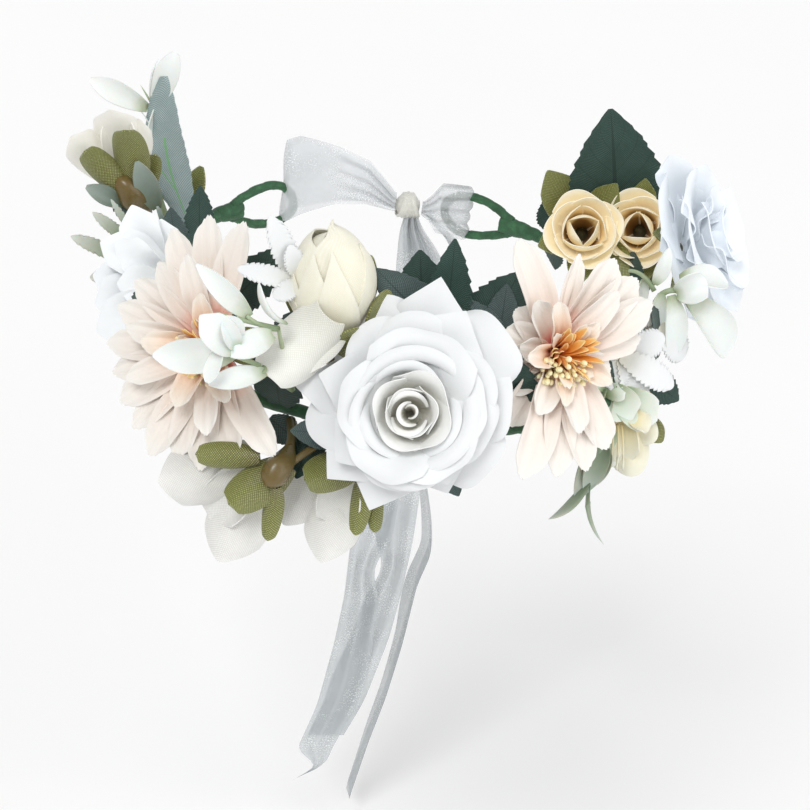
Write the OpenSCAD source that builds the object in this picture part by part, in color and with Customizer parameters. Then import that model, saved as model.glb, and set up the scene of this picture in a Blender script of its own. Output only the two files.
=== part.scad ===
// Flower crown: a wire ring wrapped in floral tape, open at the back, with a tie of organza
// ribbon and a garland of fabric flowers, buds, leaves and moulded sprigs wired along its front.
// Millimetres. Origin at the centre of the ring, +Z up, -Y to the front of the wearer's head.

/* [Ring] */
// Radius of the ring's centre line, which sets the head size
ring_r = 92; // [88:1:96]
// Radius of the steel wire core
wire_r = 0.85; // [0.6:0.05:1]
// Outer radius of the crepe tape wound on the wire
tape_r = 2.2; // [1.8:0.1:2.6]
// Angle of the closed part of the ring, centred on the front
garland_angle = 270; // [260:2:274]

/* [Eyelets] */
// Angle from the back centre line to the rounded end of each wire eyelet
eyelet_end = 19.5; // [18:0.5:22]
// Half of the eyelet's height
eyelet_half = 8; // [7:0.5:9]
// Angle covered by the tape lump that joins an eyelet to the ring
binding_angle = 8; // [7:0.5:9]

/* [Ribbon] */
// Thickness that one layer of organza stands for
ribbon_t = 0.5; // [0.3:0.1:0.7]
// Length of the wide tail below the knot
wide_length = 279; // [260:1:285]
// Length of the narrow tail below the knot
narrow_length = 297; // [280:1:300]
// Height below the ring at which both tails can fold
fold_drop = 150; // [140:1:160]

/* [Flowers] */
// Radius of the large white rose
rose_r = 31; // [28:0.5:31.5]
// Radius of the two gerbera daisies
daisy_r = 35; // [32:0.5:35.5]
// Radius of the ruffled white rose on the right
ruffled_r = 31; // [28:0.5:32]
// Length of the magnolia buds
magnolia_l = 34; // [30:0.5:35]
// Length of the cream rosebud
cream_bud_l = 38; // [34:0.5:40]
// Thickness that a layer of petals stands for
petal_t = 0.8; // [0.6:0.1:1]
// Radius of the wire stems
stem_r = 1.1; // [0.9:0.05:1.2]

/* [Hidden] */

tape_bore = wire_r + 0.05;
back = 90;                      // direction of the open back, counter-clockwise from +X
half_gap = (360 - garland_angle) / 2;
hub_r = stem_r + 0.5;           // hole at the middle of each ring of petals
gap = 0.2;                      // space left between a stem and the tape that it is bound to

// Colours
tape_green = [0.18, 0.40, 0.22];
steel = [0.62, 0.63, 0.65];
organza = [0.93, 0.94, 0.95];
white_petal = [0.96, 0.96, 0.95];
blush_petal = [0.96, 0.88, 0.82];
cream_petal = [0.93, 0.90, 0.80];
yellow_petal = [0.93, 0.87, 0.68];
stamen_orange = [0.95, 0.62, 0.20];
olive = [0.44, 0.48, 0.14];
dark_leaf = [0.14, 0.25, 0.20];
grey_green = [0.50, 0.58, 0.55];
sage = [0.80, 0.85, 0.78];

// ---- Vectors and curves ----

function unit(v) = v / norm(v);

// Unit vector from a compass angle (counter-clockwise from +X) and a height angle
function heading(az, el) = [cos(el) * cos(az), cos(el) * sin(az), sin(el)];

// A point on the ring's centre line, raised by z and moved outwards by out
function on_ring(az, out = 0, z = 0) = [(ring_r + out) * cos(az), (ring_r + out) * sin(az), z];

// Across, up and facing axes of a flower that faces along n
function axes_of(n) = let (u = unit(cross([0, 0, 1], n))) [u, cross(n, u), n];

function place(base, axes, p) = base + p[0] * axes[0] + p[1] * axes[1] + p[2] * axes[2];

function bezier(a, b, c, t) = (1 - t) * (1 - t) * a + 2 * t * (1 - t) * b + t * t * c;

// ---- Solids skinned over sections ----

// Faces over n sections of k points each, closed into a loop or capped at both ends
function skin_faces(n, k, loop) = concat(
    [for (i = [0 : n - (loop ? 1 : 2)], j = [0 : k - 1])
        let (a = i * k + j, b = i * k + (j + 1) % k,
             m = (i + 1) % n, c = m * k + (j + 1) % k, d = m * k + j)
        each [[a, d, c], [a, c, b]]],
    loop ? [] : [for (j = [1 : k - 2]) [0, j, j + 1]],
    loop ? [] : [for (j = [1 : k - 2]) [(n - 1) * k, (n - 1) * k + j + 1, (n - 1) * k + j]]
);

// Each section's points run counter-clockwise about the direction of travel
module skin(sections, loop = false) {
    polyhedron([for (s = sections) each s],
               skin_faces(len(sections), len(sections[0]), loop), convexity = 10);
}

// A round rod along a list of points
module rod(path, r, sides = 6) {
    last = len(path) - 1;
    skin([for (i = [0 : last])
        let (t = unit(path[min(i + 1, last)] - path[max(i - 1, 0)]),
             side = abs(t[2]) > 0.9 ? [1, 0, 0] : [0, 0, 1],
             u = unit(cross(side, t)), w = cross(t, u))
        [for (j = [0 : sides - 1])
            path[i] + r * (u * cos(360 * j / sides) + w * sin(360 * j / sides))]]);
}

// A bent wire stem from one point to another, which leaves the first towards via
module stem(from, via, to, r = stem_r) {
    rod([for (i = [0 : 4]) bezier(from, via, to, i / 4)], r);
}

// One ring of petals: a dish with a hole at its hub and a lobed edge.
// rise is the height of its edge, power how late it rises, ripple the wave between petals.
module whorl(base, face, r, petals, notch, rise, power = 2, ripple = 0.6, turn = 0,
             steps = 4, rings = 2, hub = hub_r, thick = petal_t) {
    axes = axes_of(face);
    skin([for (s = [0 : petals * steps - 1])
        let (a = 360 * s / (petals * steps),
             edge = r * (1 - notch * pow(abs(sin(petals * a / 2)), 2)),
             radii = [for (j = [0 : rings]) hub + (edge - hub) * j / rings],
             lift = [for (q = radii) rise * pow(q / r, power)
                                     + ripple * pow(q / r, 2) * cos(petals * a)],
             dir = a + turn)
        concat([for (j = [0 : rings])
                   place(base, axes, [radii[j] * cos(dir), radii[j] * sin(dir), lift[j]])],
               [for (j = [rings : -1 : 0])
                   place(base, axes,
                         [radii[j] * cos(dir), radii[j] * sin(dir), lift[j] - thick])])],
        loop = true);
}

// A closed bud: radius follows its length, with shallow lobes where petals overlap
module bulb(base, face, length, r, lobes = 3, foot = 0.25, late = 1, tip = 0.08, sides = 15,
            rows = 7) {
    axes = axes_of(face);
    skin([for (i = [0 : rows])
        let (t = i / rows,
             w = r * max(i == 0 ? foot : 0, tip + (1 - tip) * pow(sin(180 * pow(t, late)), 0.75)))
        [for (j = [0 : sides - 1])
            let (a = 360 * j / sides, q = w * (1 - 0.06 * cos(lobes * a + 70 * t)))
            place(base, axes, [q * cos(a), q * sin(a), length * t])]]);
}

// A leaf or a single petal from base to tip: face is the way that its upper side looks
module blade(base, tip, face, width, sag = 2, cup = 0.12, teeth = 0, full = 0.85, thick = 0.5,
             rows = 9) {
    along = unit(tip - base);
    side = unit(cross(along, face));
    up = cross(side, along);
    skin([for (i = [0 : rows])
        let (t = i / rows,
             tooth = teeth > 0 && i > 0 && i < rows ? 1 - teeth * (i % 2) : 1,
             w = width / 2 * max(0.05, pow(sin(180 * pow(t, full)), 0.8)) * tooth,
             c = base + (tip - base) * t + up * sag * sin(180 * t))
        [c + up * thick / 2, c + side * w + up * cup * w, c - up * thick / 2,
         c - side * w + up * cup * w]]);
}

// A flat band with a rectangular section: each row is [left edge, right edge, normal]
module band(rows, thick = ribbon_t) {
    skin([for (q = rows)
        let (h = q[2] * thick / 2) [q[0] + h, q[1] + h, q[1] - h, q[0] - h]]);
}

// ---- Ring and eyelets ----

// Round section swept along the closed part of the ring
module garland_arc(outer, inner) {
    rotate([0, 0, back + half_gap])
        rotate_extrude(angle = garland_angle, $fn = 96)
            translate([ring_r, 0]) difference() {
                circle(outer, $fn = 24);
                if (inner > 0) circle(inner, $fn = 24);
            }
}

module frame_wire() {
    color(steel) garland_arc(wire_r, 0);
}

module frame_tape() {
    color(tape_green) garland_arc(tape_r, tape_bore);
}

// Teardrop loop of wire on the ring's cylinder, from the split to the rounded end and back.
// side is 1 on the left of the back centre line and -1 on the right.
loop_start = 42;
loop_steps = 22;
split_angle = half_gap - binding_angle;
leg_angle = split_angle - 0.9;

function eyelet_point(side, s) =
    let (u = loop_start + (360 - 2 * loop_start) * s / loop_steps,
         near = (1 - cos(loop_start)) / 2,
         along = ((1 - cos(u)) / 2 - near) / (1 - near))
    on_ring(back + side * (leg_angle + (eyelet_end - leg_angle) * along), 0,
            eyelet_half * 1.3 * sin(u) * sin(u / 2));

function eyelet_section(side, s, r, sides) =
    let (t = unit(eyelet_point(side, min(s + 0.5, loop_steps))
                  - eyelet_point(side, max(s - 0.5, 0))),
         p = eyelet_point(side, s), out = unit([p[0], p[1], 0]),
         u = unit(out - t * (out * t)), w = cross(t, u))
    [for (j = [0 : sides - 1]) p + r * (u * cos(360 * j / sides) + w * sin(360 * j / sides))];

module eyelet_rod(side, r) {
    skin([for (s = [0 : loop_steps]) eyelet_section(side, s, r, 8)]);
}

module eyelet_tube(side) {
    k = 8;
    n = loop_steps + 1;
    outer = [for (s = [0 : loop_steps]) eyelet_section(side, s, tape_r, k)];
    inner = [for (s = [0 : loop_steps]) eyelet_section(side, s, tape_bore + 0.1, k)];
    skin_out = [for (i = [0 : n - 2], j = [0 : k - 1])
        let (a = i * k + j, b = i * k + (j + 1) % k) each [[a, a + k, b + k], [a, b + k, b]]];
    skin_in = [for (f = skin_out) [f[2] + n * k, f[1] + n * k, f[0] + n * k]];
    ends = [for (j = [0 : k - 1])
        let (b = (j + 1) % k, m = n * k, e = (n - 1) * k)
        each [[j, b, m + b], [j, m + b, m + j],
              [e + j, e + m + b, e + b], [e + j, e + m + j, e + m + b]]];
    polyhedron([for (s = concat(outer, inner)) each s], concat(skin_out, skin_in, ends),
               convexity = 10);
}

module eyelet_wires() {
    color(steel) for (side = [1, -1]) eyelet_rod(side, wire_r);
}

module eyelet_tapes() {
    color(tape_green) for (side = [1, -1]) eyelet_tube(side);
}

// Lump of tape that joins the two wire ends of an eyelet to the end of the ring
module eyelet_bindings() {
    half = 3.2;
    color(tape_green)
        for (side = [1, -1])
            rotate([0, 0, back + (side > 0 ? split_angle : -half_gap)])
                rotate_extrude(angle = binding_angle, $fn = 96)
                    translate([ring_r, 0]) {
                        translate([0, half / 2]) circle(tape_r + 0.4, $fn = 20);
                        translate([0, -half / 2]) circle(tape_r + 0.4, $fn = 20);
                        translate([-tape_r - 0.4, -half / 2]) square([2 * tape_r + 0.8, half]);
                    }
}

// ---- Ribbon ----

knot_c = [16, 92.5, -1];
knot_half = [4.6, 6.2, 5.2];
hinge_y = knot_c[1] + 0.5;      // both tails swing about a line under the knot
hinge_z = knot_c[2] - knot_half[2] - 0.2;
wide_y = hinge_y - 2.4;         // the wide tail hangs from the front of the knot
narrow_y = hinge_y + 4.6;       // the narrow tail hangs from its back
tails_top = hinge_z - 2;

// Doubled band from the end of an eyelet to the knot, its two layers opened round the
// eyelet at the far end. Rows are [angle from the back centre line, low edge, high edge,
// half of the space between the layers].
round_eyelet = tape_r + 0.55;

module doubled_band(rows) {
    last = len(rows) - 1;
    way = rows[last][0] > rows[0][0] ? 1 : -1;      // which way round the ring the band runs
    // Each layer of the path is [row, 1 for the outer layer, 0 for the turn, -1 for the inner]
    path = concat([for (q = rows) [q, 1]], [[rows[last], 0]],
                  [for (i = [last : -1 : 0]) [rows[i], -1]]);
    band([for (p = path)
        let (q = p[0], az = back + q[0], out = [cos(az), sin(az), 0],
             onward = [-sin(az), cos(az), 0], turn = 1 - abs(p[1]),
             centre = (ring_r + p[1] * q[3]) * out + turn * way * q[3] * onward)
        [centre + [0, 0, q[2]], centre + [0, 0, q[1]], out * p[1] * way + turn * onward]]);
}

module ribbon_band_left() {
    color(organza)
        doubled_band([[20.6, -6, 25, round_eyelet], [17.6, -4, 26, round_eyelet],
                      [8, -1, 21.5, 1.4], [0.5, -1, 16, 1], [-3, -2, 10, 0.8],
                      [-6.4, -3, 4, 0.6]]);
}

module ribbon_band_right() {
    color(organza)
        doubled_band([[-23.8, -9.5, 11, round_eyelet], [-17.6, -9, 10, round_eyelet],
                      [-15.6, -5, 5, 1.6], [-13.9, -3.2, 2.2, 0.6]]);
}

module ribbon_knot() {
    color(organza)
        skin([for (i = [0 : 8])
            let (t = -1 + i / 4, w = max(0.45, sqrt(1 - t * t * 0.99)))
            [for (j = [0 : 13])
                let (a = 360 * j / 14, q = w * (1 + 0.07 * cos(3 * a + 90 * t)))
                knot_c + [knot_half[0] * t, knot_half[1] * q * cos(a),
                          knot_half[2] * q * sin(a)]]]);
}

// Rows of a hanging tail: [drop below the ring, centre x, width]
wide_rows = [[0, 17.5, 6], [9, 21.5, 11], [18, 24, 14], [29, 25.5, 15], [50, 26, 20],
             [80, 25, 24], [115, 23.5, 27], [fold_drop, 22.5, 28], [175, 21.5, 26],
             [200, 19, 25], [235, 13, 22], [262, 4, 19]];
narrow_rows = [[0, 20], [2, 28], [8, 36], [20, 42.5], [36, 45.5], [80, 40], [114, 37],
               [fold_drop - 6, 44], [fold_drop + 8, 46], [175, 41.5], [205, 38.5], [235, 34],
               [260, 29], [narrow_length, 23]];

// Room left at each end of a piece of a tail, so that it can fold
wide_trim = 0.5;
narrow_trim = 1.8;

// Part of a list of rows between two drops, ended a little inside them
function between(rows, low, high, trim) =
    let (inside = [for (q = rows) if (q[0] > low + 2 && q[0] < high - 2) q])
    concat([row_at(rows, low + trim)], inside, [row_at(rows, high - trim)]);

function row_at(rows, d) =
    let (later = [for (i = [1 : len(rows) - 1]) if (rows[i][0] >= d) i],
         i = len(later) > 0 ? later[0] : len(rows) - 1,
         a = rows[i - 1], b = rows[i], f = (d - a[0]) / (b[0] - a[0]))
    a + (b - a) * f;

module wide_tail(rows, slant) {
    last = len(rows) - 1;
    band([for (i = [0 : last])
        let (q = rows[i], z = tails_top - q[0], cut = i == last ? slant : 0)
        [[q[1] - q[2] / 2, wide_y, z - cut], [q[1] + q[2] / 2, wide_y, z + cut], [0, 1, 0]]]);
}

// The narrow tail is folded along its length, so it hangs edge-on to the front
module narrow_tail(rows) {
    half = 1.5;
    band([for (q = rows)
        let (z = tails_top - q[0])
        [[q[1], narrow_y - half, z], [q[1], narrow_y + half, z], [-1, 0, 0]]], 1.6);
}

module wide_tail_upper() {
    color(organza) wide_tail(between(wide_rows, 0, fold_drop, wide_trim), 0);
}

module wide_tail_lower() {
    color(organza)
        wide_tail(between(concat(wide_rows, [[wide_length - 4, 0, 18]]),
                          fold_drop, wide_length - 4, wide_trim), 4);
}

module narrow_tail_upper() {
    color(organza) narrow_tail(between(narrow_rows, 0, fold_drop, narrow_trim));
}

module narrow_tail_lower() {
    color(organza)
        narrow_tail(between(narrow_rows, fold_drop, narrow_length, narrow_trim));
}

// ---- Large white rose at the front ----

rose_base = [-9, -101, 15.5];
rose_face = heading(259.6, 28);

module rose_outer_petals() {
    color(white_petal)
        whorl(rose_base, rose_face, rose_r, 5, 0.16, 9, ripple = 1, turn = 20, steps = 8,
              rings = 3);
}

module rose_middle_petals() {
    color(white_petal)
        whorl(rose_base + 1.8 * rose_face, rose_face, rose_r * 0.78, 5, 0.12, 13, turn = 56,
              steps = 7, rings = 3);
}

module rose_inner_petals() {
    color(white_petal)
        whorl(rose_base + 3.6 * rose_face, rose_face, rose_r * 0.52, 4, 0.08, 14, power = 1.6,
              turn = 10, steps = 7, rings = 3);
}

module rose_heart() {
    color(cream_petal)
        bulb(rose_base + 5 * rose_face, rose_face, 16, 6.6, late = 1.3, foot = 0.2, tip = 0.2);
}

module rose_calyx() {
    color(olive) {
        whorl(rose_base - 1.1 * rose_face, rose_face, 11, 5, 0.55, -4, steps = 4, hub = 0.4);
        stem(on_ring(265, 0, tape_r + gap + 1), rose_base - 14 * rose_face,
             rose_base - 2.2 * rose_face);
        rod([rose_base - 0.2 * rose_face, rose_base + 4.8 * rose_face], stem_r);
    }
}

// ---- Gerbera daisies ----

module daisy_outer(base, face) {
    color(blush_petal)
        whorl(base, face, daisy_r, 14, 0.24, 7, ripple = 0.7, turn = 5, rings = 2);
}

module daisy_inner(base, face) {
    color(blush_petal)
        whorl(base + 1.9 * face, face, daisy_r * 0.68, 11, 0.26, 9, ripple = 0.6, turn = 15,
              rings = 2);
}

module daisy_stamens(base, face) {
    axes = axes_of(face);
    color(stamen_orange) {
        bulb(base + 3.2 * face, face, 7, 6, late = 0.8, foot = 0.3, tip = 0.3, rows = 5);
        for (i = [0 : 8])
            let (a = 40 * i, lean = [4.2 * cos(a), 4.2 * sin(a), 8],
                 top = [9 * cos(a), 9 * sin(a), 14])
            rod([place(base, axes, lean), place(base, axes, top)], 0.5, 5);
    }
}

module daisy_stem(base, face, ring_az) {
    color(olive) {
        stem(on_ring(ring_az, 0, tape_r + gap + 1), base - 12 * face, base - 2.4 * face);
        bulb(base - 4.4 * face, face, 3.4, 3.2, late = 1.2, foot = 0.5, tip = 0.3, rows = 4);
        rod([base - 1.1 * face, base + 3 * face], stem_r);
    }
}

left_daisy_base = [-67.5, -75, 17];
left_daisy_face = heading(220.6, 22);
right_daisy_base = [38, -78, 22];
right_daisy_face = heading(308, 23);

module left_daisy_outer_petals() { daisy_outer(left_daisy_base, left_daisy_face); }
module left_daisy_inner_petals() { daisy_inner(left_daisy_base, left_daisy_face); }
module left_daisy_stamens() { daisy_stamens(left_daisy_base, left_daisy_face); }
module left_daisy_stem() { daisy_stem(left_daisy_base, left_daisy_face, 231); }
module right_daisy_outer_petals() { daisy_outer(right_daisy_base, right_daisy_face); }
module right_daisy_inner_petals() { daisy_inner(right_daisy_base, right_daisy_face); }
module right_daisy_stamens() { daisy_stamens(right_daisy_base, right_daisy_face); }
module right_daisy_stem() { daisy_stem(right_daisy_base, right_daisy_face, 291); }

// ---- Cream rosebud ----

cream_base = [-25, -80, 22];
cream_face = heading(184, 73);

module cream_bud_petals() {
    color(cream_petal)
        bulb(cream_base, cream_face, cream_bud_l, 12.5, late = 0.9, foot = 0.2, tip = 0.25,
             rows = 9);
}

module cream_bud_fold_petal() {
    color(cream_petal)
        blade([-34, -101, 31], [-57, -107, 27], [-0.25, -0.75, 0.6], 23,
              sag = 3, full = 1.15, thick = 0.9);
}

module cream_bud_calyx() {
    color(olive) {
        whorl(cream_base - 3 * cream_face, cream_face, 14, 5, 0.55, 10, power = 1.2, turn = 30,
              steps = 4);
        stem(on_ring(254, 0, tape_r + gap + 1), cream_base - 14 * cream_face,
             cream_base - 4.2 * cream_face);
        rod([cream_base - 4.3 * cream_face, cream_base - 0.2 * cream_face], stem_r);
    }
}

// ---- Magnolia buds ----

module magnolia_petals(base, face) {
    color(cream_petal)
        bulb(base, face, magnolia_l, 10.5, late = 1.15, foot = 0.35, tip = 0.22, rows = 8);
}

// Sepals stand off the petals as a narrow cup
module magnolia_sepals(base, face) {
    color(olive)
        whorl(base - 3.6 * face, face, 14, 3, 0.62, 14, power = 1.1, ripple = 0.4, turn = 30,
              steps = 6);
}

module magnolia_stem(base, face, root, via) {
    color([0.42, 0.34, 0.14]) {
        bulb(base - 11 * face, face, 6.4, 3.8, late = 1.4, foot = 0.4, tip = 0.35, rows = 4);
        rod([base - 4.8 * face, base - 0.2 * face], stem_r);
        stem(root, via, base - 10.9 * face, 1.3);
    }
}

left_mag_base = [-52, -91, -14];
left_mag_face = heading(207, -34);
left_mag_root = on_ring(243, 3.9, -1.5);
centre_mag_base = [-24, -93, -14.5];
centre_mag_face = heading(212, -57);
centre_mag_root = on_ring(258, 3.9, -1.5);
top_mag_base = [-85, 34, 26];
top_mag_face = heading(190, 36);
top_mag_root = on_ring(157, 0, tape_r + 1.7);

module left_magnolia_petals() { magnolia_petals(left_mag_base, left_mag_face); }
module left_magnolia_sepals() { magnolia_sepals(left_mag_base, left_mag_face); }
module left_magnolia_stem() {
    magnolia_stem(left_mag_base, left_mag_face, left_mag_root, left_mag_root + [-2, -4, -2]);
}
module centre_magnolia_petals() { magnolia_petals(centre_mag_base, centre_mag_face); }
module centre_magnolia_sepals() { magnolia_sepals(centre_mag_base, centre_mag_face); }
module centre_magnolia_stem() {
    magnolia_stem(centre_mag_base, centre_mag_face, centre_mag_root,
                  centre_mag_root + [2, -3, -3]);
}
module top_magnolia_petals() { magnolia_petals(top_mag_base, top_mag_face); }
module top_magnolia_sepals() { magnolia_sepals(top_mag_base, top_mag_face); }
module top_magnolia_stem() {
    magnolia_stem(top_mag_base, top_mag_face, top_mag_root, top_mag_root + [3, -1, 12]);
}

// ---- Small cream-yellow roses ----

module small_rose_petals(base, face) {
    color(yellow_petal) {
        whorl(base, face, 12.5, 5, 0.05, 14, power = 2.4, ripple = 0.3, steps = 5, rings = 3);
        bulb(base + 2.2 * face, face, 12.5, 4.6, late = 1.2, foot = 0.3, tip = 0.3, rows = 5);
    }
}

module small_rose_calyx(base, face, ring_az) {
    color(olive) {
        whorl(base - 1.6 * face, face, 12, 5, 0.5, 2, turn = 18, steps = 4, hub = 0.4);
        stem(on_ring(ring_az, 0, tape_r + gap + 1), base - 8 * face, base - 2.6 * face);
        rod([base - 0.7 * face, base + 2 * face], stem_r);
    }
}

inner_small_base = [73.5, 41, 12];
inner_small_face = heading(255, 10);
outer_small_base = [96, 41, 15];
outer_small_face = heading(257, 24);

module inner_small_rose_petals() { small_rose_petals(inner_small_base, inner_small_face); }
module inner_small_rose_calyx() { small_rose_calyx(inner_small_base, inner_small_face, 36); }
module outer_small_rose_petals() { small_rose_petals(outer_small_base, outer_small_face); }
module outer_small_rose_calyx() { small_rose_calyx(outer_small_base, outer_small_face, 26); }

// ---- Ruffled white rose on the right ----

ruffled_base = [100, 8, 24];
ruffled_face = heading(-24, 32);

module ruffled_rose_outer_petals() {
    color(white_petal)
        whorl(ruffled_base, ruffled_face, ruffled_r, 6, 0.12, 8, ripple = 1.4, steps = 6,
              rings = 3);
}

module ruffled_rose_inner_petals() {
    color(white_petal)
        whorl(ruffled_base + 2.4 * ruffled_face, ruffled_face, ruffled_r * 0.66, 5, 0.1, 12,
              turn = 20, steps = 6, rings = 3);
}

module ruffled_rose_calyx() {
    color(olive) {
        whorl(ruffled_base - 1.1 * ruffled_face, ruffled_face, 10, 5, 0.55, -4, steps = 4,
              hub = 0.4);
        stem(on_ring(6, 0, tape_r + gap + 1), ruffled_base - 14 * ruffled_face,
             ruffled_base - 2.2 * ruffled_face);
    }
    color(stamen_orange)
        bulb(ruffled_base + 3.6 * ruffled_face, ruffled_face, 9, 4.5, late = 1.2, foot = 0.3,
             tip = 0.3, rows = 4);
}

// ---- White lily blossom on the left ----

lily_base = [-93.5, -17, 14];
lily_face = heading(200, 30);

module lily_petals() {
    color(white_petal)
        whorl(lily_base, lily_face, 24, 6, 0.4, 7, ripple = 1, turn = 15, steps = 6, rings = 3);
}

module lily_stem() {
    color(sage) {
        stem(on_ring(189, 0, tape_r + gap + 1), lily_base - 7 * lily_face,
             lily_base - 1.6 * lily_face);
        bulb(lily_base + 0.6 * lily_face, lily_face, 9, 3.2, late = 1.2, foot = 0.3, tip = 0.25,
             rows = 4);
    }
}

// ---- Freesia on the right ----

freesia_base = [70, -62, -9];
freesia_face = heading(-50, -52);

module freesia_petals() {
    color(sage)
        whorl(freesia_base, freesia_face, 15, 5, 0.42, 5, turn = 10, steps = 5, hub = hub_r);
}

module freesia_bud() {
    color(yellow_petal)
        bulb(freesia_base + 2 * freesia_face, freesia_face, 20, 6, late = 1.5, foot = 0.3,
             tip = 0.45);
}

module freesia_stem() {
    color(sage) {
        stem(on_ring(316, 3.9, -1.6), freesia_base - 3 * freesia_face,
             freesia_base - 1 * freesia_face);
        rod([freesia_base - 0.9 * freesia_face, freesia_base + 1.9 * freesia_face], stem_r);
    }
}

// ---- Leaves ----

to_front = [-0.2, -0.85, 0.45];

module big_leaf() {
    color(dark_leaf) {
        blade([94, 50, 19], [72.5, 53, 58], to_front, 38, sag = 3, teeth = 0.07, full = 0.8,
              rows = 15);
        stem(on_ring(29, 0, tape_r + 1.6), [84, 50, 8], [94.2, 50.2, 18.4], 0.9);
    }
}

module grey_leaf() {
    color(grey_green) {
        blade([-75, 50, 8], [-85, 49, 60], [-0.5, -0.75, 0.2], 17, sag = 2, teeth = 0.05,
              rows = 13);
        stem(on_ring(144, 0, tape_r + gap + 0.9), [-74.4, 52, 5], [-74.9, 50.2, 7.6], 0.8);
    }
}

module left_leaves() {
    color(dark_leaf) {
        blade([-68, 14, 5], [-69, 38, 24], [-0.3, -0.7, 0.6], 12, teeth = 0.06);
        blade([-64, -50, 18], [-46, -60, 46], to_front, 16, teeth = 0.06);
    }
}

module top_front_leaves() {
    color(dark_leaf) {
        blade([-2, -74, 20], [-6, -66, 50], to_front, 20, teeth = 0.07, rows = 11);
        blade([4, -76, 22], [3, -74, 58], to_front, 14, teeth = 0);
        blade([11, -78, 18], [27, -66, 44], to_front, 20, teeth = 0.07, rows = 11);
    }
}

module low_front_leaves() {
    color(dark_leaf) {
        blade([2, -93, -5], [10, -99, -19], to_front, 11, teeth = 0);
        blade([-27, -96, 0], [-45, -97, 1], to_front, 11, teeth = 0.06);
        blade([-8, -90, -6], [-13, -88, -27], to_front, 11, teeth = 0.05);
    }
}

module right_leaves() {
    color(dark_leaf) {
        blade([80, -38, -4], [96, -38, -14], to_front, 13, teeth = 0.06);
        blade([67, 62, 5], [64, 61, 20], to_front, 11, teeth = 0.06);
    }
}

// ---- Moulded sprigs ----

// A curved stem with leaflets in pairs: each row of leaflets is [place on the stem, tip, width]
module sprig(root, via, end, leaflets, face, r = 0.7) {
    color(sage) {
        rod([for (i = [0 : 5]) bezier(root, via, end, i / 5)], r, 5);
        for (q = leaflets)
            blade(bezier(root, via, end, q[0]), q[1], face, q[2], sag = 1, rows = 5);
    }
}

module top_left_sprig() {
    sprig([-79, 47.5, 5], [-88, 60, 25], [-82, 55, 50],
          [[1, [-82, 54, 66], 7], [0.75, [-110, 51, 56], 8], [0.55, [-98, 50, 40], 7],
           [0.9, [-95, 52, 61], 6]], [-0.2, -0.85, 0.4]);
}

module left_spray() {
    sprig([-45, -104, 15], [-52, -110, 20], [-68, -115, 27],
          [[1, [-86, -115, 31], 9], [0.9, [-74, -118, 40], 7], [0.6, [-62, -118, 13], 6],
           [0.75, [-62, -112, 44], 7]], [-0.3, -0.8, 0.5]);
}

module right_spray() {
    sprig([86, -24, 5], [94, -32, 16], [105, -27, 18],
          [[1, [118, -25, 4], 9], [0.9, [114, -30, 22], 9], [0.6, [98, -36, 2], 8],
           [0.4, [88, -40, 14], 8]], [0.3, -0.85, 0.4]);
}

module hanging_leaves() {
    sprig([62.4, -75, -4], [60, -80, -12], [58, -81, -22],
          [[1, [67, -79, -50], 5], [0.9, [46, -84, -38], 4.5], [0.7, [54, -86, -30], 4]],
          [-0.1, -0.95, 0.2]);
}

frame_wire();
frame_tape();
eyelet_wires();
eyelet_tapes();
eyelet_bindings();
ribbon_band_left();
ribbon_band_right();
ribbon_knot();
wide_tail_upper();
wide_tail_lower();
narrow_tail_upper();
narrow_tail_lower();
rose_outer_petals();
rose_middle_petals();
rose_inner_petals();
rose_heart();
rose_calyx();
left_daisy_outer_petals();
left_daisy_inner_petals();
left_daisy_stamens();
left_daisy_stem();
right_daisy_outer_petals();
right_daisy_inner_petals();
right_daisy_stamens();
right_daisy_stem();
cream_bud_petals();
cream_bud_fold_petal();
cream_bud_calyx();
left_magnolia_petals();
left_magnolia_sepals();
left_magnolia_stem();
centre_magnolia_petals();
centre_magnolia_sepals();
centre_magnolia_stem();
top_magnolia_petals();
top_magnolia_sepals();
top_magnolia_stem();
inner_small_rose_petals();
inner_small_rose_calyx();
outer_small_rose_petals();
outer_small_rose_calyx();
ruffled_rose_outer_petals();
ruffled_rose_inner_petals();
ruffled_rose_calyx();
lily_petals();
lily_stem();
freesia_petals();
freesia_bud();
freesia_stem();
big_leaf();
grey_leaf();
left_leaves();
top_front_leaves();
low_front_leaves();
right_leaves();
top_left_sprig();
left_spray();
right_spray();
hanging_leaves();
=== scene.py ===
import bpy
import numpy as np
from mathutils import Matrix, Vector


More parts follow.
